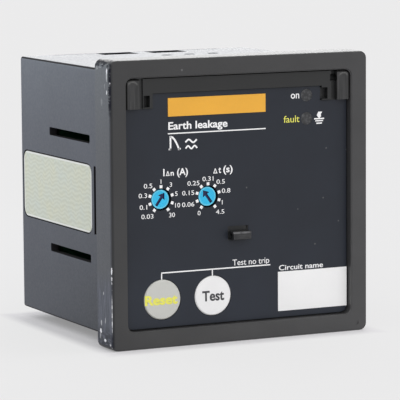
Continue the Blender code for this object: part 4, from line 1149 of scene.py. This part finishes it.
def print_caps():
    """The lettering of the push buttons, which travels with them."""
    for name, words, button, slot, width, height, left, weight in CAP_LETTERING:
        bm = bmesh.new()
        centre = centre_of(button)
        x = centre.x - left * MM
        z = centre.z - height * MM / 2
        face = y_at(BUTTON_DEPTH)
        write(bm, words, x, z, height * MM, "middle", face, weight=weight, width=width * MM)
        piece(name, bm, slot, button)


# The lamps' windows

LENS_RADIUS = 1.63 * MM
LENS_RISE = 0.12 * MM
LENS_RIM = 0.03 * MM
LENS_RINGS = 6
LENS_SIDES = 40


def lamp_lenses():
    """The thin domed windows over the two lamps, let into the film."""
    rim_y = y_at(FILM_DEPTH) - LENS_RIM
    for lamp in ("on_led", "fault_led"):
        centre = centre_of(lamp)
        bm = bmesh.new()
        loops = []
        for ring in range(1, LENS_RINGS + 1):
            share = ring / LENS_RINGS
            y = rim_y - LENS_RISE * (1 - share**2)
            loops.append(circle(bm, centre, LENS_RADIUS * share, y, LENS_SIDES))
        loops.append(circle(bm, centre, LENS_RADIUS, y_at(FILM_DEPTH + PRINT_SUNK), LENS_SIDES))
        tip = bm.verts.new((centre.x, rim_y - LENS_RISE, centre.z))
        for side in range(LENS_SIDES):
            after = (side + 1) % LENS_SIDES
            bm.faces.new((tip, loops[0][side], loops[0][after]))
            for inner, outer in zip(loops, loops[1:]):
                bm.faces.new((inner[side], outer[side], outer[after], inner[after]))
        bm.faces.new(loops[-1])
        lens = piece(lamp + "_window", bm, "led_lens", "relay_body")
        for face in lens.data.polygons:
            face.use_smooth = len(face.vertices) <= 4


# The floors of the plate's pockets: left, right, low, high and depth in mm
POCKETS = (
    (-26.4, -24.4, 60.0, 63.1, 3.3),
    (23.5, 25.5, 60.0, 63.1, 2.9),
    (-2.7, 2.7, 27.8, 29.1, 2.45),
    (-28.1, -26.0, 59.7, 67.6, 1.75),
    (26.0, 28.1, 59.7, 64.6, 1.9),
    (-26.4, -24.7, 64.3, 66.5, 1.31),
)
POCKET_FLOOR = 0.2


def pocket_floors():
    """Closes the two notches, the slot over the lug, the two arm slots and the left pivot socket."""
    bm = bmesh.new()
    for *sides, depth in POCKETS:
        slab(bm, bar_in_mm(*sides), depth * MM, (depth + POCKET_FLOOR) * MM)
    piece("pocket_floors", bm, "plate_plastic", "relay_body")


# The terminals' numbers

TERMINAL_NUMBER_HEIGHT = 2.0 * MM
TERMINAL_NUMBER_GAP = 1.2 * MM
TERMINAL_NUMBER_WEIGHT = 0.02
POLE_PITCH = 8.0 * MM
POLES = 6


def print_terminals():
    """Plain numbers for the twelve terminals, on the rear wall between the two blocks."""
    bm = bmesh.new()
    height = TERMINAL_NUMBER_HEIGHT
    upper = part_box("upper_terminal_block")[0].z - TERMINAL_NUMBER_GAP - height
    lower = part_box("lower_terminal_block")[1].z + TERMINAL_NUMBER_GAP
    for row, low in enumerate((upper, lower)):
        for pole in range(POLES):
            x = ((POLES - 1) / 2 - pole) * POLE_PITCH
            number = str(row * POLES + pole + 1)
            write(bm, number, x, low, height, "middle", REAR_Y, TERMINAL_NUMBER_WEIGHT, rear=True)
    piece("terminal_numbers", bm, "white_print", "relay_body")


# Camera, floor and light


def make_camera():
    across = math.cos(ELEVATION)
    back = Vector((math.sin(AZIMUTH) * across, -math.cos(AZIMUTH) * across, math.sin(ELEVATION)))
    data = bpy.data.cameras.new("camera")
    data.lens = LENS
    data.sensor_width = SENSOR
    data.clip_start = CLIP_START
    data.clip_end = CLIP_END
    camera = bpy.data.objects.new("camera", data)
    bpy.context.scene.collection.objects.link(camera)
    target = AIM + Vector((0.0, RIM_Y, 0.0))
    place = Matrix.Translation(target + back * DISTANCE)
    level = back.to_track_quat("Z", "Y").to_matrix().to_4x4()
    camera.matrix_world = place @ level @ Matrix.Rotation(ROLL, 4, "Z")
    bpy.context.scene.camera = camera


def shown_to_camera(tree):
    """1 for rays from the camera and for mirrored or transmitted ones, else 0."""
    rays = node(tree, "LightPath").outputs
    return most(tree, rays["Is Camera Ray"], rays["Is Glossy Ray"], rays["Is Transmission Ray"])


def floor_paper():
    """Pale paper, which the camera sees close to the background's grey, with the object's shadow."""
    made, tree, shader, place = new_material("floor_paper", Roughness=0.9, Specular_IOR_Level=0.0)
    tone = noise(tree, place, 4 * MM, 3.0)
    base = mix(tree, tone, scaled(PAPER_GREY, 0.99), scaled(PAPER_GREY, 1.01))
    tree.links.new(base, shader.inputs["Base Color"])
    glow = node(tree, "Emission", {"Color": (BACKGROUND, BACKGROUND, BACKGROUND, 1.0), "Strength": 1.0})
    away = past_box(tree, place, BODY_LOW, BODY_HIGH)
    level = ramp(tree, away, SHADOW_START, SHADOW_END, NEAR_SHOWN, FLOOR_SHOWN)
    share = times(tree, shown_to_camera(tree), level)
    both = node(tree, "MixShader", {0: share, 1: shader.outputs[0], 2: glow.outputs[0]})
    tree.links.new(both.outputs[0], tree.nodes["Material Output"].inputs["Surface"])
    return made


def make_floor():
    bm = bmesh.new()
    bmesh.ops.create_grid(bm, x_segments=1, y_segments=1, size=FLOOR_SIZE / 2)
    mesh = bpy.data.meshes.new("floor")
    bm.to_mesh(mesh)
    bm.free()
    floor = bpy.data.objects.new("floor", mesh)
    floor.location.z = RIM_LOW.z - FLOOR_GAP
    bpy.context.scene.collection.objects.link(floor)
    mesh.materials.append(floor_paper())


WORLD_LEVEL = 0.75


def make_world():
    """White light from all round. The camera and reflections see the photograph's plain background."""
    world = bpy.data.worlds.new("studio")
    world.use_nodes = True
    bpy.context.scene.world = world
    tree = world.node_tree
    tree.nodes.clear()
    light = node(tree, "Background", {"Color": (1.0, 1.0, 1.0, 1.0), "Strength": WORLD_LEVEL})
    shown = node(tree, "Background", {"Color": (BACKGROUND, BACKGROUND, BACKGROUND, 1.0), "Strength": 1.0})
    both = node(tree, "MixShader", {0: shown_to_camera(tree), 1: light.outputs[0], 2: shown.outputs[0]})
    node(tree, "OutputWorld", {"Surface": both.outputs[0]})


# The far lamps: the direction towards each, its strength and its spread in degrees
SUNS = {
    "top_light": ((0.44, -0.12, 0.89), 0.6, 25),
    "front_light": ((-0.3, -1.0, 0.45), 0.9, 50),
    "back_light": ((0.45, 0.8, 0.35), 0.9, 40),
}

# The square lamp behind the body's left, unseen by the camera
LEFT_BOX_PLACE = Vector((-140, 240, 120)) * MM
LEFT_BOX_AIM = Vector((-34, 10, 55)) * MM
LEFT_BOX_SIZE = 160 * MM
LEFT_BOX_POWER = 0.12
LEFT_BOX_TINT = (0.78, 0.9, 1.0)


def sun(name, direction, strength, spread):
    """Soft light from a direction, given as the vector towards the lamp."""
    data = bpy.data.lights.new(name, "SUN")
    data.energy = strength
    data.angle = math.radians(spread)
    lamp = bpy.data.objects.new(name, data)
    lamp.rotation_mode = "QUATERNION"
    lamp.rotation_quaternion = Vector(direction).normalized().to_track_quat("Z", "Y")
    bpy.context.scene.collection.objects.link(lamp)


def left_box():
    data = bpy.data.lights.new("left_box", "AREA")
    data.shape = "SQUARE"
    data.size = LEFT_BOX_SIZE
    data.energy = LEFT_BOX_POWER
    data.color = LEFT_BOX_TINT
    lamp = bpy.data.objects.new("left_box", data)
    lamp.visible_camera = False
    turn = (LEFT_BOX_PLACE - LEFT_BOX_AIM).to_track_quat("Z", "Y").to_matrix().to_4x4()
    lamp.matrix_world = Matrix.Translation(LEFT_BOX_PLACE) @ turn
    bpy.context.scene.collection.objects.link(lamp)


def make_lights():
    for name, (direction, strength, spread) in SUNS.items():
        sun(name, direction, strength, spread)
    left_box()


bpy.context.scene.view_settings.view_transform = "Standard"
make_camera()
make_world()
make_lights()
make_floor()
dress_nodes()
print_white()
print_yellow()
print_caps()
print_terminals()
lamp_lenses()
pocket_floors()
